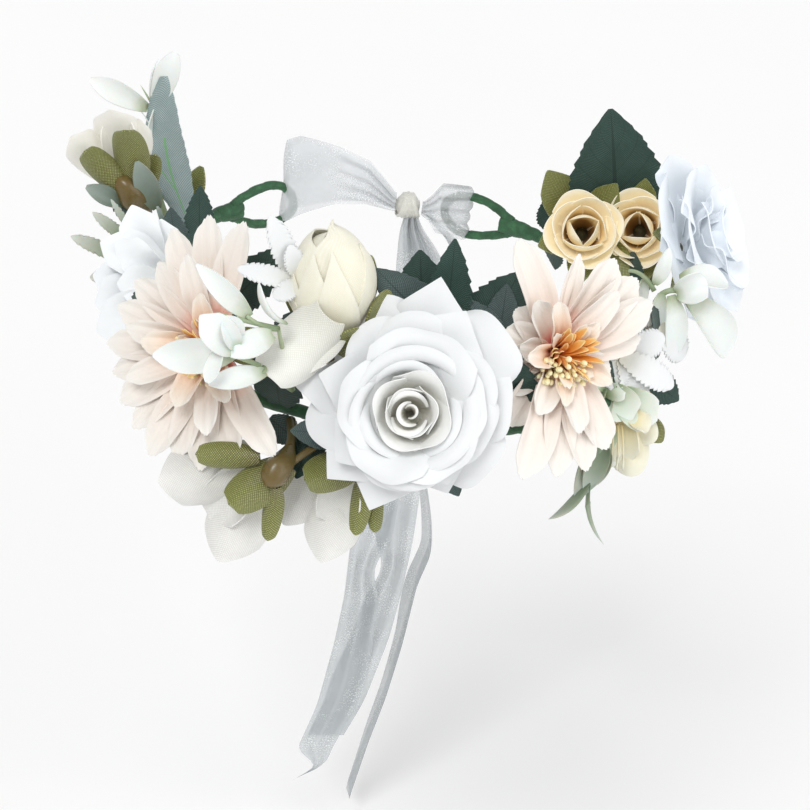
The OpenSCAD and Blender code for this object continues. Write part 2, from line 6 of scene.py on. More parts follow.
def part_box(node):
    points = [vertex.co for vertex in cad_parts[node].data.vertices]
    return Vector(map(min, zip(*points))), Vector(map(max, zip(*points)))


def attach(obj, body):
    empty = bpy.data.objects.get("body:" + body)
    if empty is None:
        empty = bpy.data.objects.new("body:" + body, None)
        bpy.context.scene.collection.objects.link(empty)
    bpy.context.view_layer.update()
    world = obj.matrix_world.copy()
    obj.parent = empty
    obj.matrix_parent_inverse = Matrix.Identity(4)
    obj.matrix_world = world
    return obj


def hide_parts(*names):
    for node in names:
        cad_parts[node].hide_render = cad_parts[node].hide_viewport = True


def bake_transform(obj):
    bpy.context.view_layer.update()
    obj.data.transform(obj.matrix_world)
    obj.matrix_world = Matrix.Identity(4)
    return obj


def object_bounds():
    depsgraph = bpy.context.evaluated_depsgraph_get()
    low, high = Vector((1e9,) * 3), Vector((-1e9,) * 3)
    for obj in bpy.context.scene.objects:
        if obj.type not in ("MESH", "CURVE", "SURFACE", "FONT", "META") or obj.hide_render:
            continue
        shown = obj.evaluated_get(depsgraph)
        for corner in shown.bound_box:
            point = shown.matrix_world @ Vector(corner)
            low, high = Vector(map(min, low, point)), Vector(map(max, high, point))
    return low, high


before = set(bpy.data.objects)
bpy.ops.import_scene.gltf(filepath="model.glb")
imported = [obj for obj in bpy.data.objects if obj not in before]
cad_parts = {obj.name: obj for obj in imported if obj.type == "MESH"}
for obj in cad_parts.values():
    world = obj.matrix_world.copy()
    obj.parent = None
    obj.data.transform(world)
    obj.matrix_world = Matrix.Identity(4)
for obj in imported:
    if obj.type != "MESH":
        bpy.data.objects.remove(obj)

# Looks of the flower crown: fabric petals, leaves, organza ribbon, moulded sprigs and crepe tape,
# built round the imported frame. Geometry is worked out in millimetres, and build() makes metres.

cad_box = [list(corner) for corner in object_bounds()]
rng = np.random.default_rng(11)
MM = 0.001
UP = np.array((0.0, 0.0, 1.0))
TO_FRONT = np.array((-0.2, -0.85, 0.45))


# ---------------------------------------------------------------- vectors

def unit(v):
    """The vector brought to a length of 1."""
    v = np.asarray(v, float)
    return v / np.linalg.norm(v)


def smooth(t):
    """An eased step from 0 to 1."""
    t = np.clip(t, 0, 1)
    return t * t * (3 - 2 * t)


def axes_of(face):
    """Across, up and facing axes of a flower, seen from in front of it."""
    across = unit(np.cross(UP, face))
    return across, np.cross(face, across), face


def bezier(points, t):
    """Points along a curve of degree 2 or 3."""
    p = [np.asarray(q, float) for q in points]
    t = np.atleast_1d(t)[:, None]
    while len(p) > 1:
        p = [a * (1 - t) + b * t for a, b in zip(p, p[1:])]
    return p[0]


# ---------------------------------------------------------------- reading the frame

def parts_of(node):
    """The separate solids of a CAD node as arrays of points in mm, the largest first."""
    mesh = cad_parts[node].data
    co = np.array([v.co for v in mesh.vertices], float) / MM
    _, same = np.unique(np.round(co, 3), axis=0, return_inverse=True)
    same = same.ravel()
    root = list(range(same.max() + 1))

    def top(i):
        while root[i] != i:
            root[i] = root[root[i]]
            i = root[i]
        return i

    for face in mesh.polygons:
        first = top(same[face.vertices[0]])
        for v in face.vertices[1:]:
            root[top(same[v])] = first
    groups = {}
    for i, s in enumerate(same):
        groups.setdefault(top(s), []).append(i)
    found = [co[g] for g in groups.values()]
    return sorted(found, key=lambda p: -np.linalg.norm(np.ptp(p, axis=0)))


tape_low, tape_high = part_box("frame_tape")
TAPE_R = tape_high.z / MM
RING_R = -tape_low.y / MM - TAPE_R
WIRE_R = 0.9               # bare wire, with its gap inside the tape
CAD_RIBBON_THICK = 0.5     # what one layer of ribbon is in the CAD


def on_ring(azimuth, out=0.0, z=0.0):
    """Point of the ring's centre line at an angle in degrees, moved outwards and up in mm."""
    a = np.radians(azimuth)
    return np.array(((RING_R + out) * np.cos(a), (RING_R + out) * np.sin(a), z))


def ring_gap(p):
    """Distance of points from the ring's centre line."""
    p = np.atleast_2d(p)
    return np.hypot(np.hypot(p[:, 0], p[:, 1]) - RING_R, p[:, 2])


def whorl_of(node):
    """Hub and facing direction of a ring of petals."""
    p = parts_of(node)[0]
    centre = p.mean(0)
    face = np.linalg.svd(p - centre)[2][2]
    flat = (p - centre) - np.outer((p - centre) @ face, face)
    far = np.linalg.norm(flat, axis=1)
    hub = p[far < far.min() + 0.8].mean(0)
    if (centre - hub) @ face < 0:
        face = -face
    return hub, face


def long_of(points):
    """Base and tip of a long solid: its base is the end nearer the ring."""
    centre = points.mean(0)
    axis = np.linalg.svd(points - centre)[2][0]
    s = (points - centre) @ axis
    ends = [centre + s.min() * axis, centre + s.max() * axis]
    return sorted(ends, key=lambda e: ring_gap(e)[0])


def leaf_of(points):
    """Base, tip, facing direction and width of a flat leaf."""
    base, tip = long_of(points)
    axes = np.linalg.svd(points - points.mean(0))[2]
    face = axes[2] if axes[2] @ TO_FRONT > 0 else -axes[2]
    return base, tip, face, np.ptp((points - points.mean(0)) @ axes[1])


# ---------------------------------------------------------------- meshes

class Cloth:
    """Shells and tubes that become one mesh. Map "share" runs from 0 to 1 across and along each
    petal, and map "metre" holds its real size, so that weaves and veins keep their scale."""

    def __init__(self):
        self.points, self.faces, self.share, self.metre, self.rim = [], [], [], [], []
        self.count = 0

    def _take(self, points, faces, share, metre, rim):
        self.points.append(points)
        self.faces += [[i + self.count for i in f] for f in faces]
        self.share.append(share)
        self.metre.append(metre)
        self.rim.append(rim)
        self.count += len(points)

    def shell(self, grid, thick=0.3):
        """A sheet of even thickness over a grid of points, closed round its edge."""
        nv, nu = grid.shape[:2]
        dv, du = np.gradient(grid, axis=0), np.gradient(grid, axis=1)
        normal = np.cross(du, dv)
        normal /= np.maximum(np.linalg.norm(normal, axis=2, keepdims=True), 1e-9)
        both = np.concatenate([(grid + normal * thick / 2).reshape(-1, 3),
                               (grid - normal * thick / 2).reshape(-1, 3)])
        at = np.arange(nv * nu).reshape(nv, nu)
        quads = np.stack([at[:-1, :-1], at[:-1, 1:], at[1:, 1:], at[1:, :-1]], -1).reshape(-1, 4)
        back = quads[:, ::-1] + nv * nu
        loop = np.concatenate([at[0, :], at[1:, -1], at[-1, -2::-1], at[-2:0:-1, 0]])
        after = np.roll(loop, -1)
        side = np.stack([after, loop, loop + nv * nu, after + nv * nu], -1)
        u, v = np.meshgrid(np.linspace(0, 1, nu), np.linspace(0, 1, nv))
        share = np.stack([u.ravel(), v.ravel()], -1)
        across = np.cumsum(np.linalg.norm(du, axis=2), axis=1) * MM
        along = np.cumsum(np.linalg.norm(dv, axis=2), axis=0) * MM
        across -= across[:, nu // 2:nu // 2 + 1]
        metre = np.stack([across.ravel(), along.ravel()], -1) + rng.uniform(0, 1, 2)
        rim = np.zeros(2 * nv * nu, int)
        rim[loop], rim[loop + nv * nu] = 1, 2
        self._take(both, np.concatenate([quads, back, side]).tolist(),
                   np.tile(share, (2, 1)), np.tile(metre, (2, 1)), rim)

    def tube(self, path, radius, sides=10, shape=None, flat=1.0):
        """A closed tube along a path. radius is one value or one for each point; shape scales it
        by a function of the turn round the tube and the distance along it."""
        path = np.asarray(path, float)
        n = len(path)
        radius = np.broadcast_to(radius, n)
        tangent = np.gradient(path, axis=0)
        tangent /= np.linalg.norm(tangent, axis=1, keepdims=True)
        side = np.cross(tangent, UP)
        weak = np.linalg.norm(side, axis=1) < 0.2
        side[weak] = np.cross(tangent[weak], (1.0, 0.0, 0.0))
        for i in range(1, n):
            if side[i] @ side[i - 1] < 0:
                side[i] = -side[i]
        side /= np.linalg.norm(side, axis=1, keepdims=True)
        other = np.cross(side, tangent)
        along = np.concatenate([[0], np.cumsum(np.linalg.norm(np.diff(path, axis=0), axis=1))])
        turn = np.linspace(0, 2 * np.pi, sides, endpoint=False)
        grid_turn, grid_along = np.meshgrid(turn, along)
        r = radius[:, None] * (shape(grid_turn, grid_along) if shape else 1.0)
        ring = (path[:, None] + (r * np.cos(turn))[..., None] * side[:, None]
                + (r * flat * np.sin(turn))[..., None] * other[:, None])
        at = np.arange(n * sides).reshape(n, sides)
        nxt = np.roll(at, -1, axis=1)
        quads = np.stack([at[:-1], at[1:], nxt[1:], nxt[:-1]], -1).reshape(-1, 4).tolist()
        first, last = n * sides, n * sides + 1
        points = np.concatenate([ring.reshape(-1, 3), path[:1], path[-1:]])
        quads += [[first, at[0, j], nxt[0, j]] for j in range(sides)]
        quads += [[last, nxt[-1, j], at[-1, j]] for j in range(sides)]
        share = np.stack([(grid_turn / (2 * np.pi)).ravel(), (grid_along / along[-1]).ravel()], -1)
        metre = np.stack([(grid_turn * radius[:, None]).ravel(), grid_along.ravel()], -1) * MM
        share = np.concatenate([share, [[0.5, 0], [0.5, 1]]])
        metre = np.concatenate([metre, metre[:1], metre[-1:]])
        self._take(points, quads, share, metre, np.zeros(len(points), int))

    def bead(self, centre, r, stretch=1.0, axis=UP):
        """A small rounded bead or anther."""
        t = np.linspace(-0.98, 0.98, 6)
        self.tube(centre + np.outer(t * r * stretch, unit(axis)), r * np.sqrt(1 - t * t), 7)

    def build(self, name, material, body="crown", slot=None, replaces=()):
        """Makes the mesh object, gives it its finish and puts it on a body when body is a name;
        otherwise it bakes the object's place into its mesh.
        """
        mesh = bpy.data.meshes.new(name)
        mesh.from_pydata((np.concatenate(self.points) * MM).tolist(), [], self.faces)
        corner = np.zeros(len(mesh.loops), int)
        mesh.loops.foreach_get("vertex_index", corner)
        for layer, values in (("share", self.share), ("metre", self.metre)):
            data = mesh.uv_layers.new(name=layer).data
            data.foreach_set("uv", np.concatenate(values)[corner].astype(np.float32).ravel())
        rim = np.concatenate(self.rim)
        ends = np.zeros(len(mesh.edges) * 2, int)
        mesh.edges.foreach_get("vertices", ends)
        a, b = rim[ends[0::2]], rim[ends[1::2]]
        sharp = mesh.attributes.new("sharp_edge", "BOOLEAN", "EDGE")
        sharp.data.foreach_set("value", (a == b) & (a > 0))
        mesh.polygons.foreach_set("use_smooth", np.ones(len(mesh.polygons), bool))
        mesh.validate()
        mesh.update()
        piece = bpy.data.objects.new(name, mesh)
        bpy.context.scene.collection.objects.link(piece)
        mesh.materials.append(material)
        if isinstance(body, str):
            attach(piece, body)
        else:
            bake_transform(piece)
        if replaces:
            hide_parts(*replaces)
        return piece


def petal(length, width, foot=0.3, widest=0.6, end=0.9, tip=2.5, tip_depth=0.25, rise=(30, 10),
          cup=(40, 25), roll=(0, 0), curl=0.0, grooves=0.0, notch=0.0, wave=0.0,
          waves=1.5, twist=0.0, teeth=0.0, tooth_count=9, oval=0.0, sweep=0.0, nv=15, nu=13,
          phase=0.0):
    """Grid of one petal or leaf: X is across, Y outwards, and its upper side looks along Z.
    foot and end are its width at either end beside its widest place; tip_depth and tip shape its
    outer edge; rise is its slope at either end; cup and roll bend it across, the second near its
    sides; curl turns its outer edge back; oval rounds its outer half off; sweep bends it
    sideways by that many mm."""
    u, v = np.meshgrid(np.linspace(-1, 1, nu), np.linspace(0, 1, nv))
    side = np.abs(u)
    v = v * (1 - tip_depth * side ** tip - notch * np.cos(3 * np.pi * u) ** 2 * (v > 0.8))
    early = foot + (1 - foot) * np.sin(np.pi / 2 * np.clip(v / widest, 0, 1)) ** 0.9
    late = 1 - (1 - end) * (np.clip(v - widest, 0, 1) / (1 - widest)) ** 2
    past = np.clip(v - widest, 0, 1) / (1 - widest)
    late = late + oval * (np.sqrt(1 - 0.96 * past * past) - late)
    half = width / 2 * np.where(v < widest, early, late)
    if teeth:
        saw = (v * tooth_count) % 1.0
        half = half * (1 - teeth * saw * (side > 0.99) * (v > 0.06) * (v < 0.97))
    fine = np.linspace(0, 1, 80)
    slope = np.radians(rise[0] + (rise[1] - rise[0]) * fine - curl * fine ** 6)
    step = length / (len(fine) - 1)
    y = np.interp(v, fine, np.concatenate([[0], np.cumsum(np.cos(slope[1:]) * step)]))
    z = np.interp(v, fine, np.concatenate([[0], np.cumsum(np.sin(slope[1:]) * step)]))
    slope = np.interp(v, fine, slope)
    cupping = np.radians(cup[0] + (cup[1] - cup[0]) * v)
    rolling = np.radians(roll[0] + (roll[1] - roll[0]) * v)
    x, h = np.zeros_like(u), np.zeros_like(u)
    steps = 12
    for k in range(steps):
        s = side * (k + 0.5) / steps
        lean = cupping * s - rolling * s ** 4
        x += np.cos(lean) * side / steps
        h += np.sin(lean) * side / steps
    x, h = np.sign(u) * half * x, half * h
    h += grooves * np.cos(u * 2.4 * np.pi) * np.sin(np.pi * np.clip(v, 0, 1)) ** 0.5
    h += wave * side ** 2 * smooth(v * 1.5) * np.sin(2 * np.pi * waves * v + phase + 1.9 * (u > 0))
    x += sweep * np.sin(np.pi * v)
    t = np.radians(twist) * v
    x, h = x * np.cos(t) - h * np.sin(t), x * np.sin(t) + h * np.cos(t)
    return np.stack([x, y - h * np.sin(slope), z + h * np.cos(slope)], -1)


def put(grid, origin, along, up):
    """Sets a petal's grid down at origin, running along one direction and facing another."""
    along = unit(along)
    across = unit(np.cross(along, up))
    up = np.cross(across, along)
    return origin + grid[..., :1] * across + grid[..., 1:2] * along + grid[..., 2:] * up


def lay(cloth, root, point, face, width, thick=0.4, **shape):
    """A petal from root to point, whose upper side looks along face."""
    root, point = np.asarray(root, float), np.asarray(point, float)
    grid = petal(np.linalg.norm(point - root), width, **shape)
    end = grid[-1, grid.shape[1] // 2]
    reach = np.hypot(end[1], end[2])
    c, k = end[1] / reach, end[2] / reach
    y, z = grid[..., 1].copy(), grid[..., 2].copy()
    scale = np.linalg.norm(point - root) / reach
    grid[..., 1], grid[..., 2] = (c * y + k * z) * scale, (c * z - k * y) * scale
    cloth.shell(put(grid, root, point - root, face), thick)


def whorl(cloth, hub, face, rows, radius=2.0, lift=0.0, thick=0.3, vary=3.0, **shape):
    """Petals round a hub, each row (angle, length, width, slope at the foot, slope at the tip)
    and, where it differs from the others, its own shape."""
    right, up, out = axes_of(face)
    for angle, length, width, low, high, *own in rows:
        a = np.radians(angle)
        away = np.cos(a) * right + np.sin(a) * up
        tilt = rng.uniform(-vary, vary)
        form = dict(shape, rise=(low + tilt, high - tilt), phase=rng.uniform(0, 6))
        form.update(own[0] if own else {})
        grid = petal(length, width, **form)
        cloth.shell(put(grid, hub + radius * away + lift * out, away, out), thick)


def rosette(cloth, hub, face, count, length, width, start=0.0, vary=5.0, uneven=0.05,
            rise=(30, 10), **shape):
    """Even petals round a hub."""
    rows = []
    for i in range(count):
        scale = 1 + rng.uniform(-uneven, uneven)
        angle = start + 360 * i / count + rng.uniform(-vary, vary)
        rows.append((angle, length * scale, width * scale, *rise))
    whorl(cloth, hub, face, rows, vary=vary * 0.6, **shape)


def wrap(height, profile, start, span, top=0.12, power=2.0, spiral=0.06, flare=0.0,
         skew=0.0, nv=16, nu=21):
    """Grid of a petal rolled round an axis: profile gives its radius at each share of its height,
    top how far its corners drop, skew how far one corner drops more than the other."""
    s, v = np.meshgrid(np.linspace(-1, 1, nu), np.linspace(0, 1, nv))
    v = v * (1 - top * np.abs(s) ** power - skew * (s + 1) / 2)
    r = profile(v) * (1 + spiral * s) + flare * smooth((v - 0.75) / 0.25)
    a = np.radians(start + span * (s + 1) / 2)
    return np.stack([r * np.cos(a), r * np.sin(a), height * v], -1)


def cuff(height, r, start, span, lip, turn=120, drop=0.25):
    """Grid of a petal that stands round an axis and rolls its lip outwards: lip is the radius of
    the roll, turn how far it goes round, drop how far its corners fall."""
    foot, wall_share, spiral = 0.45, 0.6, 0.07
    s, v = np.meshgrid(np.linspace(-1, 1, 25), np.linspace(0, 1, 22))
    side = s * s
    roll, tall = lip * (1 - 0.6 * side), height * (1 - drop * side)
    wall = np.clip(v / wall_share, 0, 1)
    bend = np.radians(turn) * np.clip((v - wall_share) / (1 - wall_share), 0, 1)
    out = r * (foot + (1 - foot) * np.sin(np.pi / 2 * wall)) * (1 + spiral * s)
    out += roll * (1 - np.cos(bend))
    a = np.radians(start + span * (s + 1) / 2)
    return np.stack([out * np.cos(a), out * np.sin(a),
                     (tall - roll) * wall + roll * np.sin(bend)], -1)


def cuffs(cloth, base, face, rows, stray=0.5, lean=0.04, **shape):
    """Standing petals round an axis. Rows hold radius, start, span, height and lip."""
    right, up, _ = axes_of(face)
    for r, start, span, tall, lip, *own in rows:
        shift, tilt = rng.uniform(-stray, stray, 2), rng.uniform(-lean, lean, 2)
        grid = cuff(tall, r, start, span, lip, **dict(shape, **(own[0] if own else {})))
        axis = unit(face + tilt[0] * right + tilt[1] * up)
        cloth.shell(stand(grid, base + shift[0] * right + shift[1] * up, axis))


def claw(cloth, points, r, flat=0.35):
    """A thin curved leaflet with a pointed tip."""
    t = np.linspace(0, 1, 22)
    cloth.tube(bezier(points, t), r * np.maximum(np.sin(np.pi * (0.12 + 0.88 * t)) ** 0.8, 0.04),
               10, flat=flat)


def stand(grid, base, face):
    """Sets a rolled petal's grid down with its axis along face."""
    right, up, out = axes_of(face)
    return base + grid[..., :1] * right + grid[..., 1:2] * up + grid[..., 2:] * out


# ---------------------------------------------------------------- materials

def srgb(code):
    """Linear colour of a hexadecimal one."""
    c = np.array([int(code[i:i + 2], 16) / 255 for i in (0, 2, 4)])
    c = np.where(c <= 0.04045, c / 12.92, ((c + 0.055) / 1.055) ** 2.4)
    return (*c, 1.0)


def grey(level):
    return (level, level, level, 1.0)


class Finish:
    """A material and short ways to add nodes to it."""

    def __init__(self, name):
        self.material = bpy.data.materials.new(name)
        self.material.use_nodes = True
        self.tree = self.material.node_tree
        self.tree.nodes.clear()
        self.out = self.tree.nodes.new("ShaderNodeOutputMaterial")

    def add(self, kind, inputs=None, **settings):
        """A node, with its inputs linked or set and its settings made."""
        node = self.tree.nodes.new("ShaderNode" + kind)
        for key, value in settings.items():
            setattr(node, key, value)
        for key, value in (inputs or {}).items():
            if isinstance(value, bpy.types.NodeSocket):
                self.tree.links.new(value, node.inputs[key])
            else:
                node.inputs[key].default_value = value
        return node

    def maths(self, operation, a, b=0.0):
        return self.add("Math", {0: a, 1: b}, operation=operation).outputs[0]

    def times(self, a, b):
        return self.maths("MULTIPLY", a, b)

    def plus(self, a, b):
        return self.maths("ADD", a, b)

    def minus(self, a, b):
        return self.maths("SUBTRACT", a, b)

    def over(self, a, limit):
        return self.maths("GREATER_THAN", a, limit)

    def under(self, a, limit):
        return self.maths("LESS_THAN", a, limit)

    def map(self, name):
        """A UV map: the whole of it, and its two parts."""
        uv = self.add("UVMap", uv_map=name).outputs[0]
        split = self.add("SeparateXYZ", {0: uv})
        return uv, split.outputs[0], split.outputs[1]

    def noise(self, vector, scale, detail=3.0):
        return self.add("TexNoise", {"Vector": vector, "Scale": scale, "Detail": detail}).outputs[0]

    def ramp(self, value, stops):
        """Colours at places between 0 and 1, and between them."""
        node = self.add("ValToRGB", {0: value})
        bar = node.color_ramp.elements
        bar[0].position, bar[0].color = stops[0][0], stops[0][1]
        bar[1].position, bar[1].color = stops[-1][0], stops[-1][1]
        for place, colour in stops[1:-1]:
            bar.new(place).color = colour
        return node.outputs[0]

    def mix(self, share, a, b, blend="MIX"):
        """Two colours mixed, or blended in another way."""
        node = self.add("Mix", data_type="RGBA", blend_type=blend)
        for socket, value in ((node.inputs[0], share), (node.inputs[6], a), (node.inputs[7], b)):
            if isinstance(value, bpy.types.NodeSocket):
                self.tree.links.new(value, socket)
            else:
                socket.default_value = value
        return node.outputs[2]

    def weave(self, x, y, pitch):
        """Height of a plain weave, from -1 to 1."""
        turn = 2 * np.pi / (pitch * MM)
        a = self.maths("SINE", self.times(x, turn))
        b = self.maths("SINE", self.times(y, turn))
        return self.times(a, b)

    def around(self, value, middle, spread, ends=(0.0, 1.0)):
        """A level that wanders on either side of its middle as value does between its ends."""
        return self.ramp(value, [(ends[0], grey(middle - spread)),
                                 (ends[1], grey(middle + spread))])

    def bumps(self, height, strength, distance=0.5):
        """Normal of a rough surface whose greatest height is in mm."""
        return self.add("Bump", {"Height": height, "Strength": strength,
                                 "Distance": distance * MM}).outputs[0]

    def surface(self, colour, rough, **more):
        """A principled surface. more names its other inputs, with _ for a space."""
        inputs = {"Base Color": colour, "Roughness": rough}
        inputs.update({key.replace("_", " "): value for key, value in more.items()})
        return self.add("BsdfPrincipled", inputs).outputs[0]

    def finish(self, shader):
        """Puts the shader on the material, which it gives back."""
        self.tree.links.new(shader, self.out.inputs[0])
        return self.material


def fabric(name, stops, pitch=0.6, bump=0.12, rough=0.75, shade=0.06, veins=0.0, thin=0.25,
           painted_glint=0.0, painted_glint_colour="FFFFFF", edge=0.0, rim_light_colour="FFFFFF", specular=0.3,
           painted_glow=0.0):
    """Woven petal cloth. stops are (share of its length, colour); veins is the height of
    lengthwise grooves; thin is how much light comes through it; glow is painted light, which the
    cloth gives off in its own colour in place of the light that a deep cup of pale petals hands
    on from one to the next."""
    f = Finish(name)
    metre, x, y = f.map("metre")
    _, across, along = f.map("share")
    blotch = f.noise(metre, 160.0)
    wander = f.times(f.minus(blotch, 0.5), 0.16)
    colour = f.ramp(f.plus(along, wander), [(p, srgb(c)) for p, c in stops])
    dark = f.ramp(blotch, [(0.3, grey(1 - shade)), (0.7, grey(1.0))])
    colour = f.mix(1.0, colour, dark, "MULTIPLY")
    cloth = f.weave(x, y, pitch)
    # painted highlight: raised threads of the weave lit up in a paler colour, here and there
    if painted_glint:
        lit = f.times(f.over(cloth, 0.25), f.times(f.noise(metre, 1500.0, 1.0), painted_glint))
        colour = f.mix(lit, colour, srgb(painted_glint_colour))
    # painted highlight: a paler colour along the sides and the outer end of each petal, where its
    # rims catch the light
    if edge:
        near = f.maths("ABSOLUTE", f.minus(across, 0.5))
        rim = f.maths("MAXIMUM", f.over(near, 0.46), f.over(along, 0.95))
        colour = f.mix(f.times(rim, edge), colour, srgb(rim_light_colour))
    height = f.plus(f.times(cloth, 0.06), f.times(f.noise(metre, 700.0), 0.25))
    if veins:
        height = f.plus(height, f.times(f.maths("SINE", f.times(across, 60.0)), veins))
    normal = f.bumps(height, bump, 0.6)
    # painted light: the petals give off light in their own colour, in place of light bounced between
    # them
    body = f.surface(colour, f.around(blotch, rough, 0.06), Normal=normal, Sheen_Weight=0.25,
                     Specular_IOR_Level=specular, Emission_Color=colour, Emission_Strength=painted_glow)
    if not thin:
        return f.finish(body)
    through = f.add("BsdfTranslucent", {"Color": colour, "Normal": normal}).outputs[0]
    return f.finish(f.add("MixShader", {0: thin, 1: body, 2: through}).outputs[0])


def leaf_cloth(name, front, vein, pitch=0.75, painted_glint=0.35, painted_glint_colour="5F7A70", ribs=True,
               midrib=0.02, span=None):
    """Stiffened leaf cloth with a midrib and side veins pressed into it. span is the stretch of
    its length that the midrib covers, where it has a lone branch instead of side veins."""
    f = Finish(name)
    metre, x, y = f.map("metre")
    _, across, along = f.map("share")
    away = f.maths("ABSOLUTE", f.minus(across, 0.5))
    cloth = f.weave(x, y, pitch)
    blotch = f.noise(metre, 120.0)
    # painted highlight: raised threads of the weave lit up in a paler colour, in patches
    lit = f.times(f.times(f.over(cloth, 0.15), painted_glint), blotch)
    colour = f.mix(lit, srgb(front), srgb(painted_glint_colour))
    slant = f.minus(along, f.times(away, 0.55))
    side = f.maths("ABSOLUTE", f.maths("SINE", f.times(slant, 22.0)))
    line = f.under(away, midrib)
    if span:
        first, last = span
        root, end, lean, half = 0.26, 0.4, 1.6, 0.022
        off = f.minus(f.minus(0.5, across), f.times(f.minus(along, root), lean))
        branch = f.times(f.under(f.maths("ABSOLUTE", off), half), f.over(along, root))
        branch = f.times(branch, f.under(along, end))
        line = f.maths("MAXIMUM", f.times(line, f.under(along, last)), branch)
        line = f.times(line, f.over(along, first))
    if ribs:
        line = f.maths("MAXIMUM", f.times(f.under(side, 0.1), 0.5), line)
    colour = f.mix(f.times(line, 0.55), colour, srgb(vein))
    height = f.minus(f.times(cloth, 0.25), f.times(line, 0.8))
    return f.finish(f.surface(colour, f.around(blotch, 0.62, 0.1), Normal=f.bumps(height, 0.3),
                              Sheen_Weight=0.15, Specular_IOR_Level=0.3))


def moulded(name, stops, rough=0.45):
    """Soft moulded plastic: stops are (share of its length, colour)."""
    f = Finish(name)
    metre, _, _ = f.map("metre")
    _, _, along = f.map("share")
    blotch = f.noise(metre, 150.0)
    wander = f.times(f.minus(blotch, 0.5), 0.25)
    colour = f.ramp(f.plus(along, wander), [(p, srgb(c)) for p, c in stops])
    return f.finish(f.surface(colour, f.around(blotch, rough, 0.08, (0.2, 0.8)),
                              Normal=f.bumps(f.noise(metre, 900.0), 0.15, 0.4),
                              Subsurface_Weight=0.15, Subsurface_Scale=2 * MM))


def crepe(name, colour, dark, pale):
    """Crepe floral tape: fine wrinkles across it, in light and dark patches."""
    f = Finish(name)
    metre, _, _ = f.map("metre")
    blotch = f.noise(metre, 220.0)
    wrinkle = f.noise(f.add("Mapping", {0: metre, "Scale": (1.0, 4.0, 1.0)}).outputs[0], 900.0)
    tone = f.ramp(blotch, [(0.25, srgb(dark)), (0.5, srgb(colour)), (0.8, srgb(pale))])
    height = f.plus(wrinkle, f.times(blotch, 0.8))
    return f.finish(f.surface(tone, f.around(wrinkle, 0.625, 0.125, (0.2, 0.8)),
                              Normal=f.bumps(height, 0.5), Sheen_Weight=0.1))


def sheer(name, colour, cover, spark=0.5):
    """Sheer organza: light comes through its open weave, and its folds glitter."""
    f = Finish(name)
    metre, x, y = f.map("metre")
    fine = f.noise(metre, 1600.0, 1.0)
    patch = f.ramp(f.noise(metre, 70.0, 2.0), [(0.45, grey(0.0)), (0.62, grey(1.0))])
    glint = f.times(f.over(fine, 0.6), patch)
    tone = f.mix(f.times(glint, spark), srgb(colour), grey(1.0))
    alpha = f.plus(f.around(f.noise(metre, 40.0), cover, 0.08, (0.3, 0.7)), f.times(glint, 0.35))
    height = f.plus(f.noise(metre, 500.0), f.times(f.weave(x, y, 0.5), 0.2))
    return f.finish(f.surface(tone, f.minus(0.5, f.times(glint, 0.25)),
                              Normal=f.bumps(height, 0.35), Alpha=alpha, Sheen_Weight=0.3))


def bare_wire():
    """Drawn steel."""
    f = Finish("steel_wire")
    draw = f.noise(f.add("TexCoord").outputs["Object"], 900.0)
    tone = f.ramp(draw, [(0.3, srgb("8C8F92")), (0.7, srgb("A9ACAF"))])
    return f.finish(f.surface(tone, f.around(draw, 0.35, 0.1, (0.3, 0.7)), Metallic=1.0))


WHITE = fabric("white_petal", [(0.0, "E2E0D0"), (0.35, "E6E8E7"), (0.6, "E9EBEC")], thin=0.04,
               shade=0.02)
HEART = fabric("heart_petal", [(0.0, "F1EEE0"), (0.5, "F6F5EE"), (1.0, "F3F4F2")], thin=0.05,
               shade=0.02)
COOL = fabric("cool_petal", [(0.0, "EEF2F2"), (0.4, "F5F8FA"), (1.0, "F7FAFC")], thin=0.05,
              rough=0.65, shade=0.02)
RUFFLE = fabric("ruffled_petal", [(0.0, "E6ECF0"), (0.4, "EEF3F8"), (1.0, "F1F6FB")], thin=0.05,
                rough=0.65, shade=0.02, painted_glow=0.06)
BLUSH = fabric("blush_petal", [(0.0, "C9404F"), (0.16, "EA9084"), (0.3, "F6D0C0"),
                               (0.46, "F4E6DB"), (1.0, "F1EEE8")],
               veins=0.12, bump=0.25, thin=0.04, pitch=0.45, shade=0.02)
PEACH = fabric("peach_petal", [(0.0, "E0704F"), (0.25, "F5B48C"), (0.5, "F9DAC0"),
                               (1.0, "F8F1E6")], veins=0.12, bump=0.25, thin=0.06, pitch=0.45)
CREAM = fabric("cream_satin", [(0.0, "E4DAB0"), (0.3, "EDE8CC"), (1.0, "F1EEDC")], thin=0.04,
               rough=0.55, painted_glint=0.5, specular=0.4, pitch=0.8, bump=0.4, shade=0.05)
CREAM_WHITE = fabric("cream_white_satin", [(0.0, "E6DFC8"), (0.3, "EFECE0"), (1.0, "F4F2EA")],
                     thin=0.04, rough=0.5, painted_glint=0.5, specular=0.4, pitch=0.5, shade=0.03)
SATIN = fabric("folded_satin", [(0.0, "DAD9CC"), (0.4, "E4E4DA"), (1.0, "E9E9E1")], thin=0.03,
               rough=0.45, painted_glint=0.9, specular=0.6, pitch=0.8, bump=0.5, shade=0.05)
PEARL = fabric("pearl_satin", [(0.0, "CAC4B0"), (0.3, "D8D7CF"), (1.0, "E0DFDB")], thin=0.03,
               rough=0.42, painted_glint=1.0, specular=0.7, pitch=0.8, bump=0.6, shade=0.08)
YELLOW = fabric("yellow_petal", [(0.0, "DDBF86"), (0.25, "F3E6C4"), (0.5, "F6EDD2"),
                                 (0.85, "FCF0D0"), (1.0, "FDF6E2")],
                thin=0.05, edge=0.25, rim_light_colour="F6F2E4", shade=0.03, painted_glow=0.12)
